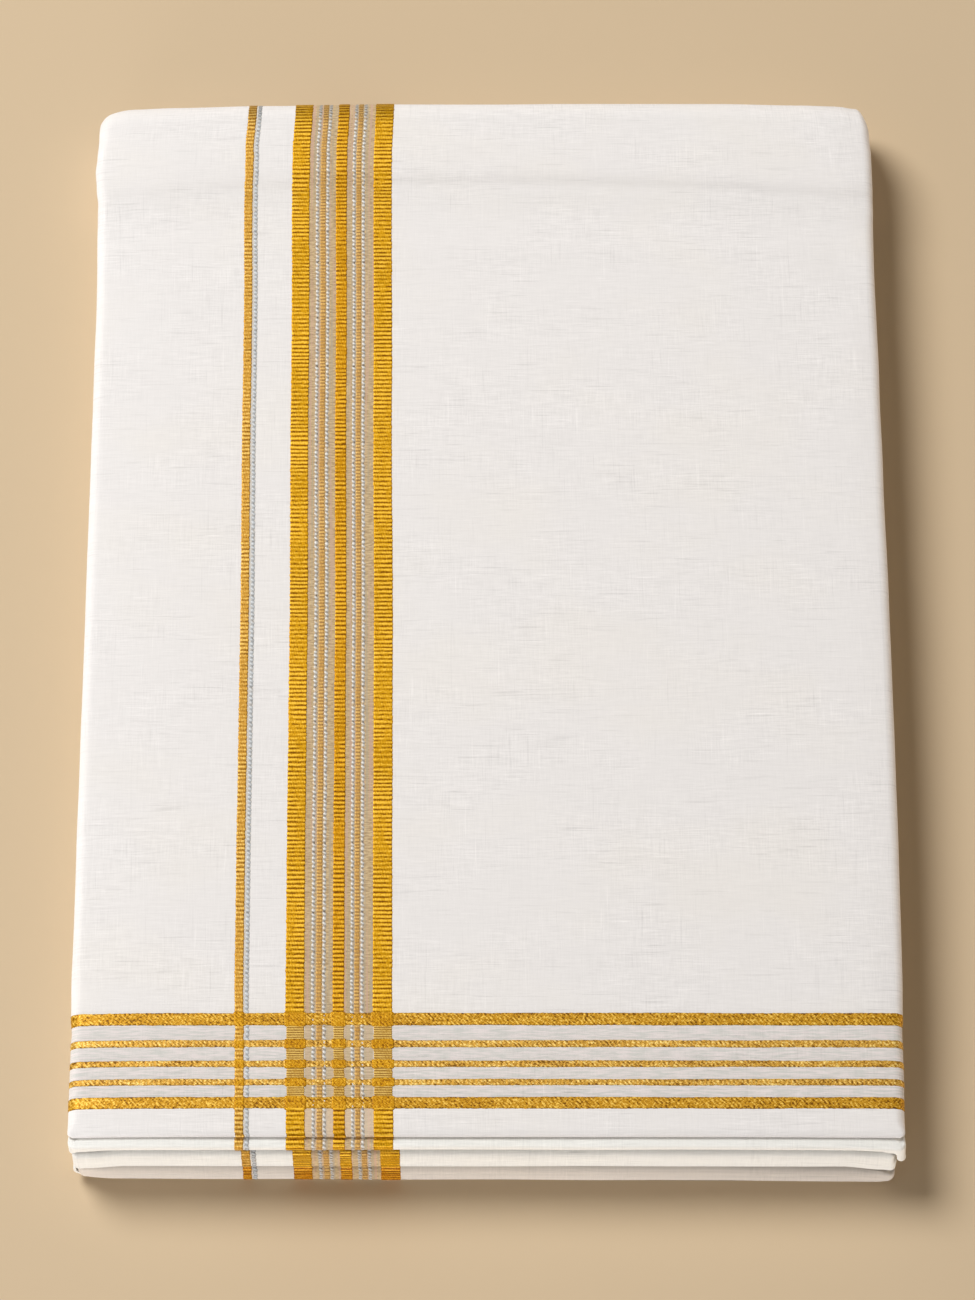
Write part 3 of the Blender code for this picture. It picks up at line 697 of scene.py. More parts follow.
class Nodes:
    def __init__(self, name):
        self.material = bpy.data.materials.new(name)
        self.material.use_nodes = True
        self.tree = self.material.node_tree
        self.shader = self.tree.nodes["Principled BSDF"]
        self.x = -1800
        uv = self.new("ShaderNodeUVMap")
        uv.uv_map = "weave"
        cut = self.new("ShaderNodeSeparateXYZ")
        self.tree.links.new(uv.outputs[0], cut.inputs[0])
        self.u = self.math("MULTIPLY", cut.outputs[0], 1000.0)
        self.v = self.math("MULTIPLY", cut.outputs[1], 1000.0)
        # the painted shade and the zari's dark edge marks, stored per vertex in a UV layer
        painted_shade_and_edge_marks = self.new("ShaderNodeUVMap")
        painted_shade_and_edge_marks.uv_map = "painted_shade_and_edge_marks"
        part = self.new("ShaderNodeSeparateXYZ")
        self.tree.links.new(painted_shade_and_edge_marks.outputs[0], part.inputs[0])
        self.painted_shade_and_edge_marks = part.outputs[0]

    def new(self, kind):
        node = self.tree.nodes.new(kind)
        node.location = (self.x, 0)
        self.x += 40
        return node

    def put(self, socket, value):
        if isinstance(value, bpy.types.NodeSocket):
            self.tree.links.new(value, socket)
        else:
            socket.default_value = value

    def math(self, op, a, b=None, clamp=False):
        node = self.new("ShaderNodeMath")
        node.operation = op
        node.use_clamp = clamp
        self.put(node.inputs[0], a)
        if b is not None:
            self.put(node.inputs[1], b)
        return node.outputs[0]

    def add(self, a, b):
        return self.math("ADD", a, b)

    def sub(self, a, b):
        return self.math("SUBTRACT", a, b)

    def mul(self, a, b):
        return self.math("MULTIPLY", a, b)

    def noise(self, u, v, w=0.0, detail=2.0, rough=0.5):
        join = self.new("ShaderNodeCombineXYZ")
        self.put(join.inputs[0], u)
        self.put(join.inputs[1], v)
        self.put(join.inputs[2], w)
        node = self.new("ShaderNodeTexNoise")
        node.inputs["Scale"].default_value = 1.0
        node.inputs["Detail"].default_value = detail
        node.inputs["Roughness"].default_value = rough
        self.tree.links.new(join.outputs[0], node.inputs["Vector"])
        return node.outputs[0]

    def span(self, value, low, high, to_low=0.0, to_high=1.0):
        """value from low..high to to_low..to_high, held at the ends, eased."""
        node = self.new("ShaderNodeMapRange")
        node.interpolation_type = "SMOOTHSTEP"
        self.put(node.inputs["Value"], value)
        node.inputs["From Min"].default_value = low
        node.inputs["From Max"].default_value = high
        node.inputs["To Min"].default_value = to_low
        node.inputs["To Max"].default_value = to_high
        return node.outputs[0]

    def between(self, value, low, high, soft):
        return self.mul(self.span(value, low - soft, low + soft), self.span(value, high - soft, high + soft, 1.0, 0.0))

    def mix(self, factor, a, b):
        node = self.new("ShaderNodeMix")
        node.data_type = "RGBA"
        self.put(node.inputs[0], factor)
        self.put(node.inputs[6], a)
        self.put(node.inputs[7], b)
        return node.outputs[2]

    def scale(self, colour, amount):
        node = self.new("ShaderNodeVectorMath")
        node.operation = "SCALE"
        self.put(node.inputs[0], colour)
        self.put(node.inputs["Scale"], amount)
        return node.outputs[0]

    def bump(self, height, strength, distance):
        node = self.new("ShaderNodeBump")
        node.inputs["Strength"].default_value = strength
        node.inputs["Distance"].default_value = distance
        self.put(node.inputs["Height"], height)
        self.tree.links.new(node.outputs[0], self.shader.inputs["Normal"])

    def finish(self, colour, roughness, metallic=0.0, sheen=0.0, specular=0.35):
        # painted shade: the colour is darkened by the stored value, which holds shade painted into creases, along lips
        # and at the far fold, and the zari's dark edge marks
        colour = self.scale(colour, self.sub(1.0, self.painted_shade_and_edge_marks))
        self.put(self.shader.inputs["Base Color"], colour)
        self.put(self.shader.inputs["Roughness"], roughness)
        self.shader.inputs["Metallic"].default_value = metallic
        self.shader.inputs["Specular IOR Level"].default_value = specular
        if sheen:
            self.shader.inputs["Sheen Weight"].default_value = sheen
            self.shader.inputs["Sheen Roughness"].default_value = 0.45
        return self.material


def linear(r, g, b):
    """A colour given in display values, 0 to 255."""
    def one(c):
        c /= 255
        return c / 12.92 if c <= 0.04045 else ((c + 0.055) / 1.055) ** 2.4
    return (one(r), one(g), one(b), 1.0)


def cotton(name, base, top=False, front=False):
    """Fine plain-woven cotton, with thicker threads here and there, faint warm
    patches, and the warmer ground of the border and the end band."""
    n = Nodes(name)
    weft = n.noise(n.mul(n.u, 0.15), n.mul(n.v, 2.2), 1.3, 3.0, 0.65)
    warp = n.noise(n.mul(n.u, 2.2), n.mul(n.v, 0.13), 4.1, 3.0, 0.65)
    slub = n.noise(n.mul(n.u, 0.065), n.mul(n.v, 1.5), 7.7, 1.0, 0.4)
    slub_dark = n.span(slub, 0.64, 0.76)
    slub_bright = n.span(n.noise(n.mul(n.u, 0.085), n.mul(n.v, 1.7), 12.9, 1.0, 0.4), 0.64, 0.77)
    warp_slub = n.noise(n.mul(n.u, 1.7), n.mul(n.v, 0.05), 21.3, 1.0, 0.4)
    warp_dark, warp_bright = n.span(warp_slub, 0.66, 0.78), n.span(warp_slub, 0.34, 0.22)
    patch = n.noise(n.mul(n.u, 0.022), n.mul(n.v, 0.030), 3.3, 2.0, 0.5)
    loose = n.span(n.noise(n.mul(n.u, 0.03), n.mul(n.v, 0.045), 51.0, 1.0, 0.5), 0.35, 0.68, 0.55, 1.35)
    tone = n.add(n.mul(n.sub(weft, 0.5), 0.240), n.mul(n.sub(warp, 0.5), 0.166))
    tone = n.add(tone, n.mul(slub_bright, 0.060))
    tone = n.sub(tone, n.mul(slub_dark, 0.085))
    tone = n.sub(tone, n.mul(warp_dark, 0.052))
    tone = n.add(tone, n.mul(warp_bright, 0.044))
    tone = n.mul(tone, loose)
    tone = n.add(tone, n.mul(n.sub(patch, 0.5), 0.026))
    colour = n.mix(n.span(patch, 0.42, 0.72, 0.0, 0.40), base, (base[0] * 1.0, base[1] * 0.988, base[2] * 0.945, 1))
    if top or front:
        shift = 0.0 if top else front
        # the warm ground between the border's columns, with its own fine threads
        fine = n.noise(n.mul(n.u, 0.5), n.mul(n.v, 1.9), 33.0, 2.0, 0.6)
        ground = n.mix(n.span(fine, 0.34, 0.64), linear(169, 138, 93), linear(213, 185, 136))
        upright = n.noise(n.mul(n.u, 1.15), n.mul(n.v, 0.012), 37.0, 1.0, 0.5)
        ground = n.mix(n.span(upright, 0.52, 0.66, 0.0, 0.75), ground, linear(200, 163, 140))
        ground = n.mix(n.span(upright, 0.48, 0.34, 0.0, 0.70), ground, linear(176, 160, 134))
        for low, high, amount in ((-57.80, -48.80, 0.92), (-45.40, -36.25, 0.92)):
            mask = n.mul(n.between(n.u, low + shift, high + shift, 0.10), amount)
            colour = n.mix(mask, colour, ground)
        mask = n.mul(n.between(n.u, -77.2 + shift, -74.9 + shift, 0.10), 0.75)
        colour = n.mix(mask, colour, linear(206, 200, 190))
    if top:
        v0 = 1000 * (TOP_FRONT + FRONT_TURN)
        # ground between the end band's stripes
        band = n.between(n.v, -175.0 - v0, -144.5 - v0, 0.3)
        thread = n.noise(n.mul(n.u, 0.16), n.mul(n.v, 1.8), 41.0, 2.0, 0.6)
        ground = n.mix(n.span(thread, 0.36, 0.64), linear(232, 222, 220), linear(208, 207, 202))
        outside = n.sub(1.0, n.between(n.u, -57.7, -36.4, 0.2))
        colour = n.mix(n.mul(band, n.mul(0.90, outside)), colour, ground)
        inside = n.sub(1.0, outside)
        paler = n.mix(n.span(thread, 0.36, 0.64), linear(220, 200, 172), linear(188, 172, 142))
        colour = n.mix(n.mul(band, n.mul(0.62, inside)), colour, paler)
        # and it is paler again between the band and the front lip
        near = n.span(n.v, -176.4 - v0, -175.2 - v0, 1.0, 0.0)
        colour = n.mix(n.mul(near, n.mul(0.50, inside)), colour, linear(232, 210, 188))
        # painted shade: the cloth is darkened along the soft trough
        edge = n.mul(n.u, 1 / 130.0)
        line = n.add(TROUGHS[0][0] * 1000 - v0, n.mul(-6.0, n.mul(edge, edge)))
        away = n.mul(n.sub(n.v, line), 1 / 9.5)
        trough_shade = n.math("EXPONENT", n.mul(-1.0, n.mul(away, away)))
        colour = n.mix(n.mul(trough_shade, 0.55), colour, n.scale(colour, 0.93))
    if base is UNDER_SHADED_BASE:
        # painted shade: the lowest fold is darker towards its right, away from the light; it also has fine level lines
        level_lines = n.noise(n.mul(n.u, 0.02), n.mul(n.v, 1.6), 61.0, 2.0, 0.6)
        tone = n.sub(tone, n.mul(n.span(n.u, 10.0, 100.0), 0.10))
        tone = n.add(tone, n.mul(n.sub(level_lines, 0.5), 0.22))
    colour = n.scale(colour, n.add(1.0, tone))
    height = n.add(n.add(n.mul(weft, 0.5), n.mul(warp, 0.5)), n.sub(n.mul(slub_bright, 0.5), n.mul(slub_dark, 0.3)))
    n.bump(height, 0.35, 0.00014)
    return n.finish(colour, n.span(weft, 0.2, 0.8, 0.78, 0.90), sheen=0.10, specular=0.20)


# rib colours: dark for painted shade in the gaps, bright for painted highlights on the crests
GOLD_DARK = linear(122, 70, 0)
GOLD = linear(207, 151, 8)
GOLD_BRIGHT = linear(242, 192, 62)


def zari_ribs(name, dark, mid, bright, level=1.0, strength=1.0, ground=None, metal=0.38):
    """Gold thread laid across in ribs: u is mm across, v is a rib a unit."""
    n = Nodes(name)
    v = n.mul(n.v, 0.001)
    u = n.u
    rib = n.math("ABSOLUTE", n.math("SINE", n.mul(v, pi)))
    strand = n.noise(n.mul(u, 0.45), n.mul(v, 2.6), 2.0, 2.0, 0.6)
    flake = n.noise(n.mul(u, 1.9), n.mul(v, 2.2), 9.0, 1.0, 0.5)
    cross = n.math("COSINE", n.mul(n.add(u, n.mul(v, 0.35)), 2 * pi / 0.80))
    fade = n.span(n.noise(n.mul(u, 0.13), n.mul(v, 0.085), 17.0, 1.0, 0.5), 0.40, 0.60, 0.45, 1.0)
    # painted highlight on each rib's crest and painted shade in the gap between ribs, with the thread's own speckle on
    # top
    shade = n.mul(n.mul(n.sub(rib, 0.60), 1.25 * strength), fade)
    shade = n.add(shade, n.mul(n.sub(strand, 0.5), 1.1))
    shade = n.add(shade, n.mul(n.sub(flake, 0.5), 0.9))
    shade = n.add(shade, n.mul(cross, 0.07))
    low = n.mix(n.span(shade, -0.55, -0.02), dark, mid)
    colour = n.mix(n.span(shade, 0.02, 0.48), low, bright)
    if ground is not None:
        colour = n.mix(n.mul(0.55, n.span(rib, 0.55, 0.15)), colour, ground)
    colour = n.scale(colour, level)
    n.bump(n.add(strand, flake), 0.35, 0.00010)
    return n.finish(colour, n.span(strand, 0.2, 0.8, 0.40, 0.54), metallic=metal, specular=0.12)


def zari_twist(name, dark, mid, bright, pitch=1.0, level=1.0, upright=0.0):
    """Gold thread in a band: a fine slanting speckle. u is mm along, v mm across."""
    n = Nodes(name)
    slant = n.add(n.u, n.mul(n.v, 0.9))
    back = n.sub(n.u, n.mul(n.v, 0.8))
    a = n.noise(n.mul(slant, 1.25 / pitch), n.mul(n.v, 0.9), 3.0, 1.0, 0.5)
    b = n.noise(n.mul(back, 1.55 / pitch), n.mul(n.v, 1.5), 8.0, 1.0, 0.5)
    long = n.noise(n.mul(n.u, 0.06), n.mul(n.v, 0.3), 11.0, 2.0, 0.5)
    twine = n.math("COSINE", n.mul(n.add(slant, n.mul(long, 2.0)), 2 * pi / (1.7 * pitch)))
    shade = n.add(n.add(n.mul(n.sub(a, 0.5), 1.7), n.mul(n.sub(b, 0.5), 1.5)), n.mul(n.sub(long, 0.5), 0.7))
    shade = n.add(shade, n.mul(twine, 0.10))
    if upright:
        lines = n.math("COSINE", n.mul(n.u, 2 * pi / 0.9))
        shade = n.add(shade, n.mul(lines, upright))
    low = n.mix(n.span(shade, -0.48, -0.03), dark, mid)
    colour = n.mix(n.span(shade, 0.05, 0.46), low, bright)
    colour = n.scale(colour, level)
    n.bump(n.add(a, b), 0.45, 0.00014)
    return n.finish(colour, n.span(a, 0.2, 0.8, 0.40, 0.55), metallic=0.28, specular=0.12)


def zari_beads(name, gap, body, crest, warmth):
    """Silver thread twisted into beads: v is a bead a unit, u is mm across."""
    n = Nodes(name)
    v = n.mul(n.v, 0.001)
    wave = n.math("COSINE", n.mul(n.add(v, n.mul(n.u, 0.22)), 2 * pi))
    grain = n.noise(n.mul(n.u, 1.5), n.mul(v, 1.3), 5.0, 1.0, 0.5)
    each = n.noise(0.0, n.mul(v, 0.8), 25.0, 1.0, 0.5)
    # painted highlight on each bead and painted shade between the beads and towards both sides of the thread
    middle = n.span(n.math("ABSOLUTE", n.u), 0.30, 0.75, 0.25, -0.35)
    shade = n.add(n.mul(wave, 0.42), n.add(n.mul(n.sub(grain, 0.5), 0.8), n.mul(n.sub(each, 0.5), 1.2)))
    shade = n.add(shade, middle)
    colour = n.mix(n.span(shade, -0.55, -0.05), gap, body)
    colour = n.mix(n.span(shade, 0.05, 0.55), colour, crest)
    warm = n.span(n.noise(n.mul(n.u, 0.9), n.mul(v, 0.6), 15.0, 1.0), 0.54, 0.68)
    colour = n.mix(n.mul(warm, warmth), colour, linear(206, 172, 122))
    n.bump(grain, 0.30, 0.00010)
    return n.finish(colour, n.span(grain, 0.2, 0.8, 0.42, 0.56), metallic=0.12, specular=0.20)


COTTON_BASE = (0.846, 0.818, 0.810, 1.0)
FOLD_BASE = (0.846, 0.838, 0.806, 1.0)
# painted shade: a darker, warmer copy of the fold cotton for the lowest fold, which lies in shade under the middle fold
UNDER_SHADED_BASE = (0.745, 0.680, 0.615, 1.0)
INNER_BASE = (0.800, 0.770, 0.720, 1.0)
top_cotton = cotton("cotton_top_weave", COTTON_BASE, top=True)
fold_cotton_upper = cotton("cotton_upper_weave", FOLD_BASE, front=1e-6)
fold_cotton_lower = cotton("cotton_lower_weave", FOLD_BASE, front=1e-6)
fold_cotton_under_shaded = cotton("cotton_under_shaded_weave", UNDER_SHADED_BASE, front=1e-6)
bottom_cotton = cotton("cotton_bottom_weave", FOLD_BASE)
inner_cotton = cotton("cotton_inner_weave", INNER_BASE)
gold_ribs = zari_ribs("zari_gold_ribs", GOLD_DARK, GOLD, GOLD_BRIGHT)
gold_mid = zari_ribs("zari_gold_mid", linear(116, 66, 0), linear(199, 139, 2), linear(234, 180, 50))
gold_thin = zari_ribs("zari_gold_thin", linear(130, 84, 18), linear(200, 148, 56), linear(238, 198, 108), 1.0, 0.7)
gold_pale = zari_ribs("zari_gold_pale", linear(134, 92, 40), linear(192, 146, 76), linear(226, 184, 110), 1.0, 0.9, linear(176, 142, 98), 0.15)
gold_fine = zari_ribs("zari_gold_fine", linear(124, 82, 20), linear(184, 140, 54), linear(224, 188, 104), 1.0, 1.25, linear(160, 118, 62), 0.20)
# painted shade: a darker gold for the zari on the lowest fold, which lies in shade under the middle fold
gold_shaded = zari_ribs("zari_gold_shaded", linear(112, 60, 0), linear(196, 124, 4), linear(240, 178, 50), 1.0)
gold_band = zari_twist("zari_gold_band", linear(114, 70, 8), linear(198, 144, 32), linear(246, 204, 96), 0.85)
gold_band_narrow = zari_twist("zari_gold_band_narrow", linear(126, 82, 20), linear(208, 158, 62), linear(250, 218, 132), 0.85)
gold_block = zari_twist("zari_gold_block", linear(140, 86, 2), linear(200, 142, 12), linear(232, 180, 52), 0.75, 0.98)
silver_beads = zari_beads("zari_silver_beads", linear(90, 74, 62), linear(160, 154, 146), linear(214, 211, 206), 0.50)
silver_thin = zari_beads("zari_silver_thin", linear(122, 120, 118), linear(166, 168, 170), linear(202, 205, 208), 0.15)

# ----------------------------------------------------------- cloth pieces

# the top stretch -----------------------------------------------------------
# painted shade along the top's front lip: s, how much darker
LIP_SHADE = [(-0.0030, 0.45), (-0.0012, 0.22), (-0.0005, 0.11), (0.0003, 0.065), (0.0014, 0.028), (0.0034, 0.0), (0.0060, 0.0)]


def lip_shade(s, c):
    """Painted shade on the top's front lip, where it turns away from the light: strongest along the middle, weaker at
    its left and right ends.
    """
    even = (0.35 + 0.65 * ramp(c, 1.9, 2.3)) * (1 - 0.5 * ramp(c, 2.985, 3.3))
    return column(LIP_SHADE, np.clip(s, -0.003, 0.006)) * even


def turn_shade(s, c):
    """Painted shade lines along the right turn-down, standing for fine pressed creases there, coming and going."""
    out = np.zeros_like(s + c)
    for at, deep, tag in ((3.06, 0.075, 31), (3.40, 0.050, 32), (3.66, 0.060, 33)):
        here = 0.55 + 0.45 * noise(s / 0.026, 0.0, tag)
        out = out + deep * here * np.exp(-(((c - at - 0.03 * noise(s / 0.05, 0.0, tag + 5)) / 0.055) ** 2))
    return out * ramp(s, 0.004, 0.016)


across = np.concatenate([
    np.linspace(0, 1, 5)[:-1],
    np.linspace(1, 2, 9)[:-1],
    2 + np.array([0.0, 0.004, 0.010, 0.018, 0.028]),
    2 + np.linspace(0.038, 0.972, 104),
    2 + np.array([0.982, 0.990, 0.996]),
    np.linspace(3, 4, 19),
    np.linspace(4, 5, 5)[1:],
])
along = steps(
    (-HALF_TURN - TUCK, -HALF_TURN, 0.0020),
    (-HALF_TURN, 0.0, 0.00026),
    (0.0, 0.0060, 0.0006),
    (0.0060, top_along(0.1210), 0.0028),
    (top_along(0.1210), top_along(0.1360), 0.0014),
    (top_along(0.1360), top_along(0.1700), 0.0011),
    (top_along(0.1700), FLAT_LENGTH, 0.0014),
    (FLAT_LENGTH, FLAT_LENGTH + OVER_ROLL, 0.00105),
    (FLAT_LENGTH + OVER_ROLL, FLAT_LENGTH + OVER_ROLL + ROLL_Y - UNDER_LIP, 0.0042),
)
C, S = np.meshgrid(across, along, indexing="ij")
outer, normal = facing(top_surface, C, S, 0.002, 0.0002)
# the turned-down sides are too short for a small step: they face straight out
for beyond, out in ((C <= 1, -1.0), (C >= 4, 1.0)):
    normal[beyond] = (out, 0.0, 0.0)


def run_x(c, s):
    """How far across the cloth a place is, unrolled, from its middle."""
    _, _, _, dl, dr, wl, wr, tl, tr = top_sides(s)
    half = STACK_WIDTH / 2
    bend_l, bend_r = (wl + tl) * 0.79, (wr + tr) * 0.79
    flat = -half + wl + (STACK_WIDTH - wl - wr) * np.clip(c - 2, 0, 1)
    flat = flat - bend_l * (1 - np.clip(c - 1, 0, 1)) - (dl - tl) * (1 - np.clip(c, 0, 1))
    return flat + bend_r * np.clip(c - 3, 0, 1) + (dr - tr) * np.clip(c - 4, 0, 1)


y_there = top_path(S)[0]
u_there = run_x(C, S) - drift_at(np.where(S > FLAT_LENGTH, 0.19, y_there))
uv = np.stack([u_there - far_slant(u_there, S), S], axis=-1)
top_mesh = Mesh("top_cloth")
# painted shade along the front lip and in the fine lines of the right turn-down
top_mesh.shell(outer, outer - normal * CLOTH, uv, shade=lip_shade(S, C) + turn_shade(S, C))
top_cloth = top_mesh.build([top_cotton])
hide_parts("top_stretch")

# the front folds -----------------------------------------------------------


def fold_piece(name, fold, face, material, creases, replaced, back, drift, face_steps):
    back_l, back_r = back
    p_left = -(fold.xl + TURN + back_l - fold.front - CORNER)
    p_right = fold.xr + TURN + back_r - fold.front - CORNER
    places = steps(
        (p_left, -(fold.xl + TURN + 0.012), 0.0036),
        (-(fold.xl + TURN + 0.012), -(fold.xl + TURN), 0.0015),
        (-(fold.xl + TURN), -fold.xl, 0.0005),
        (-fold.xl, -fold.xl + 0.0020, 0.00034),
        (-fold.xl + 0.0020, -fold.xl + 0.014, 0.0014),
        (-fold.xl + 0.014, fold.xr - 0.014, 0.0030),
        (fold.xr - 0.014, fold.xr - 0.0020, 0.0014),
        (fold.xr - 0.0020, fold.xr, 0.00034),
        (fold.xr, fold.xr + TURN, 0.0005),
        (fold.xr + TURN, fold.xr + TURN + 0.012, 0.0015),
        (fold.xr + TURN + 0.012, p_right, 0.0036),
    )
    rounds = np.concatenate([
        np.linspace(0, 1, 4)[:-1],
        np.linspace(1, 2, 9)[:-1],
        np.linspace(2, 3, face_steps)[:-1],
        np.linspace(3, 4, 9)[:-1],
        np.linspace(4, 5, 4),
    ])
    P, Q = np.meshgrid(places, rounds, indexing="ij")
    outer = face(P, Q)
    inner = face(P, Q, 0.0006)
    length = np.concatenate([[0], np.cumsum(np.linalg.norm(np.diff(outer[len(places) // 2], axis=0), axis=1))])
    uv = np.stack([P - drift, np.broadcast_to(length, P.shape)], axis=-1)
    mesh = Mesh(name)
    # the painted shade in the creases is strongest along the front
    along_front = 0.35 + 0.65 * ramp(-np.abs(P), -fold.xr - 0.002, -fold.xr + 0.010)
    # and the painted shade line along the top edge fades out towards the left
    along_front = along_front * (1 - 0.55 * ramp(-P, 0.075, 0.120) * ramp(Q, 4.2, 4.4))
    mesh.shell(outer, inner, uv, shade=column(creases, Q) * along_front)
    piece = mesh.build([material])
    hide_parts(replaced)
    return piece, length[-1], places[-1] - places[0]


upper_cloth, upper_width, upper_length = fold_piece(
    "upper_cloth", UPPER, upper_face, fold_cotton_upper, UPPER_CREASE_SHADE, "upper_fold", (0.1760, 0.1760), 0.00135, 9)
middle_cloth, middle_width, middle_length = fold_piece(
    "middle_cloth", MIDDLE, middle_face, fold_cotton_lower, MIDDLE_CREASE_SHADE, "middle_fold", (0.1830, 0.1830), 0.0033, 40)
lower_cloth, lower_width, lower_length = fold_piece(
    "lower_cloth", LOWER, lower_face, fold_cotton_under_shaded, LOWER_CREASE_SHADE, "lower_fold", (0.1780, 0.1780), 0.0033, 18)

# the bottom stretch --------------------------------------------------------
BOTTOM_LEFT, BOTTOM_RIGHT = -0.1284, 0.1276
BOTTOM_NEAR, BOTTOM_FAR = -0.1903, UNDER_LIP - 0.0011


def bottom_surface(c, y, inset=0.0):
    """c across: 0..1 left side, 1..2 its round, 2..3 flat, 3..4 round, 4..5."""
    c, y = np.broadcast_arrays(np.asarray(c, float), np.asarray(y, float))
    d = inset
    front = ramp(-y, 0.1690, 0.1890)
    hl, wl, tl = 0.0046 + 0.0028 * front, 0.0066 + 0.0016 * front - d, 0.0040 + 0.0013 * front - d
    hr, wr, tr = 0.0048 - 0.0006 * front, 0.0050 - 0.0004 * front - d, 0.0044 - 0.0010 * front - d
    hl = hl + 0.0003 * noise(y / 0.03, 0.0, 91) - 0.0002
    hr = hr + 0.0003 * noise(y / 0.03, 0.0, 92) - 0.0002
    left = BOTTOM_LEFT - 0.0006 * front + d + 0.00012 * noise(y / 0.02, 0.0, 93) + 0.0001
    right = BOTTOM_RIGHT - d + 0.00012 * noise(y / 0.02, 0.0, 94) - 0.0001
    a0, a1 = np.clip(c, 0, 1), np.clip(c - 1, 0, 1) * pi / 2
    a2, a3, a4 = np.clip(c - 2, 0, 1), np.clip(c - 3, 0, 1) * pi / 2, np.clip(c - 4, 0, 1)
    x = np.where(c <= 1, left, np.where(c <= 2, left + wl * (1 - np.cos(a1)), np.where(c <= 3, left + wl + (right - wr - left - wl) * a2, np.where(c <= 4, right - wr + wr * np.sin(a3), right))))
    z = np.where(c <= 1, hl + (d + tl - hl) * a0, np.where(c <= 2, d + tl * (1 - np.sin(a1)), np.where(c <= 3, d, np.where(c <= 4, d + tr * (1 - np.cos(a3)), d + tr + (hr - d - tr) * a4))))
    y = y + front * (0.0003 - 0.0040 * x + 0.0007 * ramp(np.abs(x), 0.1130, 0.1270))
    return np.stack(settle(x, y, z), axis=-1)


across_low = np.concatenate([np.linspace(0, 1, 3)[:-1], np.linspace(1, 2, 9)[:-1], np.linspace(2, 3, 30)[:-1], np.linspace(3, 4, 9)[:-1], np.linspace(4, 5, 3)])
along_low = steps((BOTTOM_NEAR, BOTTOM_NEAR + 0.010, 0.0016), (BOTTOM_NEAR + 0.010, BOTTOM_FAR, 0.0050))
C2, Y2 = np.meshgrid(across_low, along_low, indexing="ij")
low_outer, low_inner = bottom_surface(C2, Y2), bottom_surface(C2, Y2, 0.0008)
bottom_mesh = Mesh("bottom_cloth")
bottom_mesh.shell(low_outer, low_inner, np.stack([(C2 - 2.5) * 0.25, Y2], axis=-1))
bottom_cloth = bottom_mesh.build([bottom_cotton], flip=True)
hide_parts("bottom_stretch")

# the hidden plies: one sheet folded to and fro -----------------------------
PLIES = 20
PLY_LOW, PLY_HIGH = 0.0020, 0.0221
PLY_PITCH = (PLY_HIGH - PLY_LOW) / (PLIES - 1)
INNER_REACH = ROLL - 0.0012 - 0.0010


def ply_line():
    y, z = [], []
    for k in range(PLIES):
        level = PLY_LOW + k * PLY_PITCH
        lift = level + PLY_PITCH / 2 * (1 if k % 2 == 0 else -1) - ROLL
        far = ROLL_Y + np.sqrt(max(1e-8, INNER_REACH ** 2 - lift ** 2)) - 0.0012
        near = -0.1815 + 0.0006 * float(noise(k * 1.7, 0.0, 97))
        run = np.linspace(near, far, 12)
        if k % 2:
            run = run[::-1]
        y += list(run)
        z += [level] * 12
        if k < PLIES - 1:
            end = run[-1]
            out = 1 if k % 2 == 0 else -1
            for a in np.linspace(-pi / 2, pi / 2, 7)[1:-1]:
                y.append(end + out * PLY_PITCH / 2 * np.cos(a))
                z.append(level + PLY_PITCH / 2 * (1 + np.sin(a)))
    return np.array(y), np.array(z)


py, pz = ply_line()
px = np.linspace(-0.1205, 0.1196, 14)
X3, I3 = np.meshgrid(px, np.arange(len(py)), indexing="ij")
Y3, Z3 = py[I3], pz[I3]
X3 = X3 + 0.0006 * np.sign(X3) * noise(I3 / 9.0, Y3 / 0.05, 98)
tangent_y, tangent_z = np.gradient(py), np.gradient(pz)
size = np.hypot(tangent_y, tangent_z)
ny, nz = (-tangent_z / size)[I3], (tangent_y / size)[I3]
inner_top = np.stack(settle(X3, Y3 + ny * 0.00018, Z3 + nz * 0.00018), axis=-1)
inner_low = np.stack(settle(X3, Y3 - ny * 0.00018, Z3 - nz * 0.00018), axis=-1)
ply_length = np.concatenate([[0], np.cumsum(np.hypot(np.diff(py), np.diff(pz)))])
ply_mesh = Mesh("inner_plies")
ply_mesh.shell(inner_top, inner_low, np.stack([X3, ply_length[I3]], axis=-1))
inner_plies = ply_mesh.build([inner_cotton])
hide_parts("inner_folds")

# ---------------------------------------------------------------- the zari


def raised(surface, a, b, height, da, db):
    p, n = facing(surface, a, b, da, db)
    return p + n * height[..., None]


def crown(t, wide, sink=0.00004, full=0.00010):
    """The height across a strip: t from 0 to 1, sunk at both edges and flat
    between them."""
    edge = np.minimum(t, 1 - t) * wide
    return -sink + (sink + full) * ramp(edge, 0.0, 0.00022)


RIB = 0.00150
FINE_RIB = 0.00080
BEAD = 0.00150


def rib_phase(s, seed, pitch):
    return s / pitch + 0.24 * noise(s / (pitch * 5.1), 0.0, seed) + 0.12 * noise(s / (pitch * 1.9), 0.0, seed + 1)


def rib_shape(phase):
    return np.abs(np.sin(pi * phase)) ** 0.8


def comb(phase, seed, reach):
    """Each rib ends a little further in or out than the next."""
    return reach * (lattice_noise(np.floor(phase), 0, seed) * 0.6 + rib_shape(phase) - 0.6)


def across_strip(wide, inner=2):
    """Places across a strip: both edges, twice just inside them so that the slope
    stays at the edge, and between."""
    near = 0.00022 / wide
    flat = min(0.00040 / wide, 0.45)
    return np.concatenate([[0.0, near], np.linspace(flat, 1 - flat, max(2, inner)), [1 - near, 1.0]])


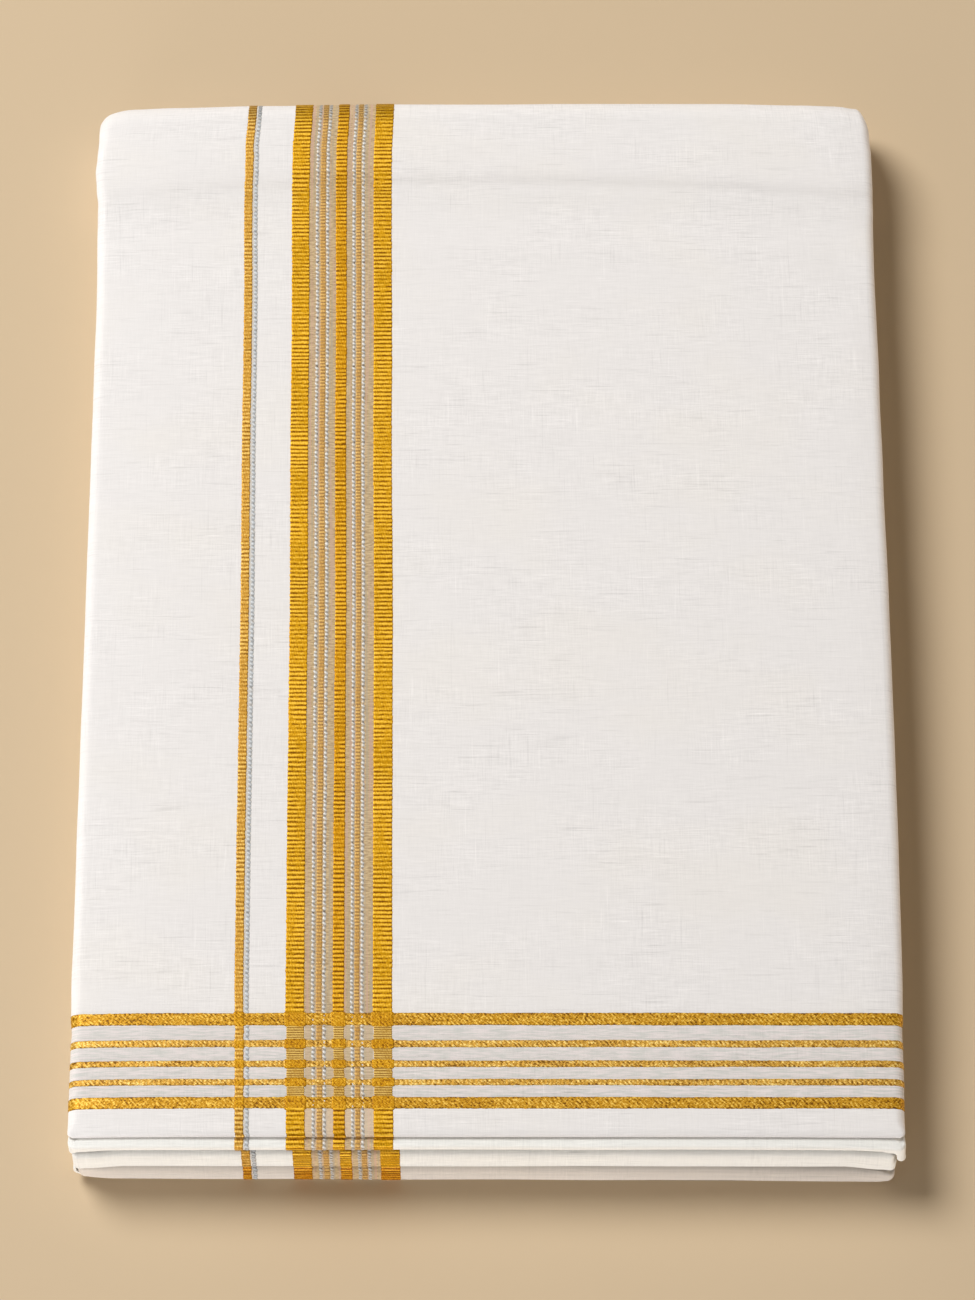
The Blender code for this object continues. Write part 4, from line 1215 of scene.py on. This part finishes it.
def column_strip(mesh, x0, x1, s0, s1, pitch, relief, seed, mat, inner=2, high=0.00008, reach=0.00012, per=6):
    """A border column on the top stretch, ribbed along its length."""
    s = steps((s0, s1, pitch / per))
    wide = (x1 - x0) * MM
    S, T = np.meshgrid(s, across_strip(wide, inner), indexing="ij")
    y = np.where(S > FLAT_LENGTH, 0.19, top_path(S)[0])
    middle = drift_at(y) + far_slant((x0 + x1) / 2 * MM + 0 * S, S)
    phase = rib_phase(S, seed, pitch)
    left = x0 * MM + middle - comb(phase, seed + 5, reach)
    right = x1 * MM + middle + comb(phase, seed + 6, reach)
    X = left + (right - left) * T
    fade = 0.60 + 0.40 * ramp(noise(S / 0.014, 0.0, seed + 7), -0.45, 0.35)
    lift = crown(T, wide, full=high) + relief * fade * rib_shape(phase) * ramp(np.minimum(T, 1 - T) * wide, 0.0, 0.0002)
    P = raised(top_surface, top_column(X, S), S, lift, 0.002, 0.0002)
    P[..., 2] = np.maximum(P[..., 2], -0.00002)  # pressed flat where the roll lies on the floor
    mesh.strip(P[:, ::-1], np.stack([(T * (x1 - x0)) * MM + 0.003 * (seed % 97), phase], axis=-1)[:, ::-1], mat,
               (strip_shade(S) + edge_shade(T, wide))[:, ::-1])


def strip_shade(s):
    """Painted shade where the border turns down at the far fold, and at the front lip."""
    far = 0.22 * ramp(s, FLAT_LENGTH - 0.0030, FLAT_LENGTH + 0.0060)
    return far + 0.8 * column(LIP_SHADE, np.clip(s, -0.003, 0.006))


def edge_shade(t, wide):
    """A thin darker line along both edges of a strip."""
    edge = np.minimum(t, 1 - t) * wide
    return 0.22 * ramp(-edge, -0.00030, -0.00010)


def bead_strip(mesh, x0, x1, s0, s1, seed, mat, high=0.00024, per=7):
    """Silver thread: a row of small beads, leaning to and fro."""
    s = steps((s0, s1, BEAD / per))
    t = np.linspace(0, 1, 6)
    S, T = np.meshgrid(s, t, indexing="ij")
    y = np.where(S > FLAT_LENGTH, 0.19, top_path(S)[0])
    middle = drift_at(y) + far_slant((x0 + x1) / 2 * MM + 0 * S, S)
    phase = rib_phase(S, seed, BEAD)
    sway = 0.00010 * np.sin(pi * phase)
    beads = 0.5 + 0.5 * np.cos(2 * pi * (phase + 0.22 * (T - 0.5) * (x1 - x0)))
    slim = 0.00012 * (1 - beads)
    left, right = x0 * MM + middle + slim, x1 * MM + middle - slim
    X = left + (right - left) * T + sway
    dome = np.sin(pi * T)
    lift = -0.00006 + dome * (0.00006 + high * (0.30 + 0.70 * beads))
    P = raised(top_surface, top_column(X, S), S, lift, 0.002, 0.0002)
    P[..., 2] = np.maximum(P[..., 2], -0.00002)  # pressed flat where the roll lies on the floor
    mesh.strip(P[:, ::-1], np.stack([(T - 0.5) * (x1 - x0) * MM, phase], axis=-1)[:, ::-1], mat, strip_shade(S)[:, ::-1])


STRIPE_S = [(top_along(low * MM), top_along(high * MM)) for high, low in END_STRIPES]
FRONT_S = -HALF_TURN * 0.72
BACK_S = FLAT_LENGTH + OVER_ROLL + 0.004


def column_runs():
    """The border's own lengths: behind the end band, between its stripes, and in
    front of it."""
    stripes = sorted(STRIPE_S)
    runs = [("near", FRONT_S, stripes[0][0] + 0.0002)]
    for a, b in zip(stripes, stripes[1:]):
        runs.append(("gap", a[1] - 0.0002, b[0] + 0.0002))
    runs.append(("far", stripes[-1][1] - 0.0002, BACK_S))
    return runs


gold_mesh = Mesh("zari_gold_top")
silver_mesh = Mesh("zari_silver_top")
seed = 1000
for kind, x0, x1 in BORDER:
    for place, s0, s1 in column_runs():
        seed += 20
        if kind == "gold":
            if place == "gap":
                column_strip(gold_mesh, x0 + 0.15, x1 - 0.15, s0, s1, FINE_RIB, 0.00008, seed, 1, high=0.00006, per=5)
            else:
                narrow = x1 - x0 < 5
                column_strip(gold_mesh, x0, x1, s0, s1, RIB, 0.00018, seed, 4 if narrow else 0, inner=3)
        elif kind == "gold_thin":
            column_strip(gold_mesh, x0, x1, s0, s1, RIB * 0.96, 0.00014, seed, 2, inner=2)
        elif kind == "gold_line":
            column_strip(gold_mesh, x0, x1, s0, s1, RIB * 0.8, 0.00009, seed, 3, inner=1, high=0.00003)
    if kind.startswith("silver"):
        seed += 20
        thin = kind == "silver_thin"
        bead_strip(silver_mesh, x0, x1, FRONT_S, BACK_S, seed, 1 if thin else 0, high=0.00009 if thin else 0.00013)
zari_gold_top = gold_mesh.build([gold_ribs, gold_fine, gold_thin, gold_pale, gold_mid])
zari_silver_top = silver_mesh.build([silver_beads, silver_thin])

# the end band --------------------------------------------------------------
band_mesh = Mesh("zari_end_band")
cols = np.concatenate([
    np.linspace(0.15, 1, 5)[:-1],
    np.linspace(1, 2, 9)[:-1],
    2 + np.linspace(0, 1, 760),
    np.linspace(3, 4, 9)[1:],
    np.linspace(4, 4.85, 5)[1:],
])


def dotted(x, t, wide, seed):
    """Dark dots and dashes along both edges of a stripe, and a little sheen of
    shade between."""
    edge = np.minimum(t, 1 - t) * wide
    side = np.where(t < 0.5, 0.0, 1.0)
    dots = ramp(noise(x / 0.00085, side * 3.0, seed), -0.25, 0.35)
    return (0.10 + 0.36 * dots) * ramp(-edge, -0.00042, -0.00018)


for k, (s0, s1) in enumerate(STRIPE_S):
    wide = s1 - s0
    t = across_strip(wide, 4 if wide > 0.003 else 2)
    Cc, T = np.meshgrid(cols, t, indexing="ij")
    wob = 0.00007
    there = run_x(Cc, np.full_like(Cc, (s0 + s1) / 2))
    low = s0 + wob * noise(there / 0.0010, 0.0, 700 + k) + 0.00010 * noise(there / 0.02, 0.0, 710 + k)
    high = s1 + wob * noise(there / 0.0011, 1.0, 720 + k) + 0.00010 * noise(there / 0.02, 1.0, 730 + k)
    Ss = low + (high - low) * T
    across_mm = (Ss - s0)
    rope = 0.5 + 0.5 * np.cos(2 * pi * (there / 0.00145 + across_mm / 0.0017 + 0.3 * noise(there / 0.006, 0.0, 740 + k)))
    lift = crown(T, wide, full=0.00008) + 0.00007 * rope * ramp(np.minimum(T, 1 - T) * wide, 0.0, 0.0002)
    P = raised(top_surface, Cc, Ss, lift, 0.002, 0.0002)
    narrow = wide < 0.003
    band_mesh.strip(P, np.stack([there, across_mm + 0.01 * k], axis=-1), 2 if narrow else 0,
                    dotted(there, T, wide, 750 + k) * (0.75 if narrow else 1.0))

# solid blocks where the stripes cross the gold columns
for k, (s0, s1) in enumerate(STRIPE_S):
    for j, (kind, x0, x1) in enumerate(BORDER):
        if kind not in ("gold", "gold_thin"):
            continue
        grow = 0.55 if kind == "gold" else 0.30
        along_x = steps((x0 - grow, x1 + grow, 0.25)) * MM
        tall = 0.00046
        wide = s1 - s0 + 2 * tall
        X, T = np.meshgrid(along_x, across_strip(wide, 5), indexing="ij")
        tag = 800 + 20 * k + j
        low = s0 - tall + 0.00016 * noise(X / 0.0008, 0.0, tag)
        high = s1 + tall + 0.00016 * noise(X / 0.0008, 1.0, tag)
        # rounded ends
        end = np.minimum(np.arange(len(along_x)), np.arange(len(along_x))[::-1])[:, None] * 0.00025
        shorter = 0.00045 * np.clip(1 - end / 0.0009, 0, 1) ** 2
        Ss = low + shorter + (high - low - 2 * shorter) * T
        X = X + drift_at(top_path(Ss)[0])
        lift = np.where(end == 0, -0.00004, crown(T, wide, full=0.00016))
        lift = lift + np.where(end > 0, 0.00001 * np.cos(2 * pi * X / 0.0009) * ramp(np.minimum(T, 1 - T) * wide, 0.0, 0.0002), 0.0)
        P = raised(top_surface, top_column(X, Ss), Ss, lift, 0.002, 0.0002)
        dark = np.maximum(dotted(X, T, wide, tag + 400), 0.30 * ramp(-end, -0.00045, -0.0001))
        band_mesh.strip(P, np.stack([X * 1.0, Ss - s0 + 0.01 * k], axis=-1), 1, dark)
zari_end_band = band_mesh.build([gold_band, gold_block, gold_band_narrow])

# the borders down the front folds ------------------------------------------


def front_strip(mesh, face, x0, x1, q0, q1, shift, pitch, relief, seed, mat, creases, inner=3, high=0.00008, beads=False, per=6):
    x_mid = (x0 + x1) / 2 * MM + shift
    wide = (x1 - x0) * MM
    probe = np.linspace(q0, q1, 160)
    line = face(np.full_like(probe, x_mid), probe)
    length = np.concatenate([[0], np.cumsum(np.linalg.norm(np.diff(line, axis=0), axis=1))])
    total = length[-1]
    d = steps((0.0, total, pitch / per))
    q = np.interp(d, length, probe)
    t = np.linspace(0, 1, 6) if beads else across_strip(wide, inner)
    Q, T = np.meshgrid(q, t, indexing="ij")
    D = np.broadcast_to(d[:, None], Q.shape)
    phase = rib_phase(D, seed, pitch)
    if beads:
        wave = 0.5 + 0.5 * np.cos(2 * pi * (phase + 0.22 * (T - 0.5) * (x1 - x0)))
        slim = 0.00012 * (1 - wave)
        X = x0 * MM + slim + (wide - 2 * slim) * T + shift + 0.00010 * np.sin(pi * phase)
        lift = -0.00006 + np.sin(pi * T) * (0.00006 + high * (0.30 + 0.70 * wave))
        dark = 0.0
    else:
        near, far = comb(phase, seed + 5, 0.00012), comb(phase, seed + 6, 0.00012)
        X = x0 * MM - near + (wide + near + far) * T + shift
        lift = crown(T, wide, full=high) + relief * rib_shape(phase) * ramp(np.minimum(T, 1 - T) * wide, 0.0, 0.0002)
        dark = edge_shade(T, wide)
    P, n = facing(face, X, Q, 0.0002, 0.003)
    P = P + n * lift[..., None]
    # painted shade: the fold's shade in its creases darkens the zari laid over it too
    dark = np.minimum(0.75, dark + 1.15 * column(creases, Q))
    mesh.strip(P, np.stack([(T - 0.5) * (x1 - x0) * MM if beads else T * wide + 0.003 * (seed % 97), phase], axis=-1), mat, dark)


front_gold = Mesh("zari_gold_front")
front_silver = Mesh("zari_silver_front")
TIERS = [
    # face, lower q, upper q, shift, gold pitch, gold material, relief, painted shade table of the creases
    (upper_face, 1.05, 4.95, 0.00135, 0.00130, 0, 0.00012, UPPER_CREASE_SHADE),
    (middle_face, 1.35, 4.35, 0.00330, 0.00125, 0, 0.00012, MIDDLE_CREASE_SHADE),
    (lower_face, 0.90, 4.20, 0.00335, 0.00120, 2, 0.00010, LOWER_CREASE_SHADE),
]
for tier, (face, q0, q1, shift, pitch, mat, relief, creases) in enumerate(TIERS):
    for kind, x0, x1 in BORDER:
        seed += 20
        if kind == "gold":
            front_strip(front_gold, face, x0, x1, q0, q1, shift, pitch, relief, seed, mat, creases)
        elif kind == "gold_thin":
            front_strip(front_gold, face, x0, x1, q0, q1, shift, pitch, relief, seed, 3 if tier < 2 else 2, creases, inner=2)
        elif kind == "gold_line":
            front_strip(front_gold, face, x0, x1, q0, q1, shift, pitch, 0.00008, seed, 4, creases, inner=1, high=0.00004)
        else:
            thin = kind == "silver_thin"
            front_strip(front_silver, face, x0, x1, q0, q1, shift, BEAD * 0.9, 0.0, seed, 1 if thin else 0, creases, beads=True, high=0.00016)
zari_gold_front = front_gold.build([gold_ribs, gold_fine, gold_shaded, gold_thin, gold_pale], flip=True)
zari_silver_front = front_silver.build([silver_beads, silver_thin], flip=True)

# ------------------------------------------------------------------- studio
floor_data = bpy.data.meshes.new("studio_floor")
side = 4.0
floor_data.from_pydata([(-side, -side, 0), (side, -side, 0), (side, side, 0), (-side, side, 0)], [], [(0, 1, 2, 3)])
floor = bpy.data.objects.new("studio_floor", floor_data)
floor.location = (0, 0, -0.0002)
bpy.context.scene.collection.objects.link(floor)
backing = bpy.data.materials.new("studio_floor_paint")
backing.use_nodes = True
paint = backing.node_tree.nodes["Principled BSDF"]
paint.inputs["Base Color"].default_value = (0.642, 0.498, 0.333, 1)
paint.inputs["Roughness"].default_value = 0.9
paint.inputs["Specular IOR Level"].default_value = 0.15
floor_data.materials.append(backing)

world = bpy.data.worlds.new("studio_light")
bpy.context.scene.world = world
world.use_nodes = True
sky = world.node_tree.nodes["Background"]
sky.inputs["Color"].default_value = (1.0, 0.90, 0.77, 1)
sky.inputs["Strength"].default_value = 0.172


def area_light(name, place, look_at, size, power, colour, shape="ELLIPSE"):
    data = bpy.data.lights.new(name, "AREA")
    data.shape = shape
    data.size, data.size_y = size
    data.energy = power
    data.color = colour
    light = bpy.data.objects.new(name, data)
    light.location = place
    from mathutils import Vector
    aim = Vector(look_at) - Vector(place)
    light.rotation_euler = aim.to_track_quat("-Z", "Y").to_euler()
    bpy.context.scene.collection.objects.link(light)
    return light


KEY_HEIGHT = 2.6
area_light("key_light", (-0.61 * KEY_HEIGHT, 0.51 * KEY_HEIGHT, KEY_HEIGHT), (0, 0, 0),
           (0.66 * KEY_HEIGHT, 0.68 * KEY_HEIGHT), 111.5, (0.985, 0.990, 0.985))
area_light("front_fill", (-0.8, -2.5, 0.19), (0, -0.1, 0), (1.6, 0.32), 45.0, (0.985, 0.985, 1.0), "RECTANGLE")
area_light("right_fill", (2.5, -0.2, 0.16), (0, 0, 0), (1.4, 0.28), 18.0, (1.0, 0.86, 0.72), "RECTANGLE")
area_light("near_left_fill", (-0.36, -0.46, 0.36), (-0.17, -0.26, 0), (0.24, 0.24), 0.17, (1.0, 0.99, 0.97))

camera_data = bpy.data.cameras.new("camera")
camera_data.lens = 155.077
camera_data.sensor_width = 36.0
camera_data.clip_start = 0.05
camera_data.clip_end = 50.0
camera = bpy.data.objects.new("camera", camera_data)
camera.location = (0.00025, -0.78244, 1.66375)
camera.rotation_euler = (radians(25.0), 0.0, 0.0)
bpy.context.scene.collection.objects.link(camera)
bpy.context.scene.camera = camera
bpy.context.scene.view_settings.view_transform = "Standard"
bpy.context.scene.view_settings.look = "None"
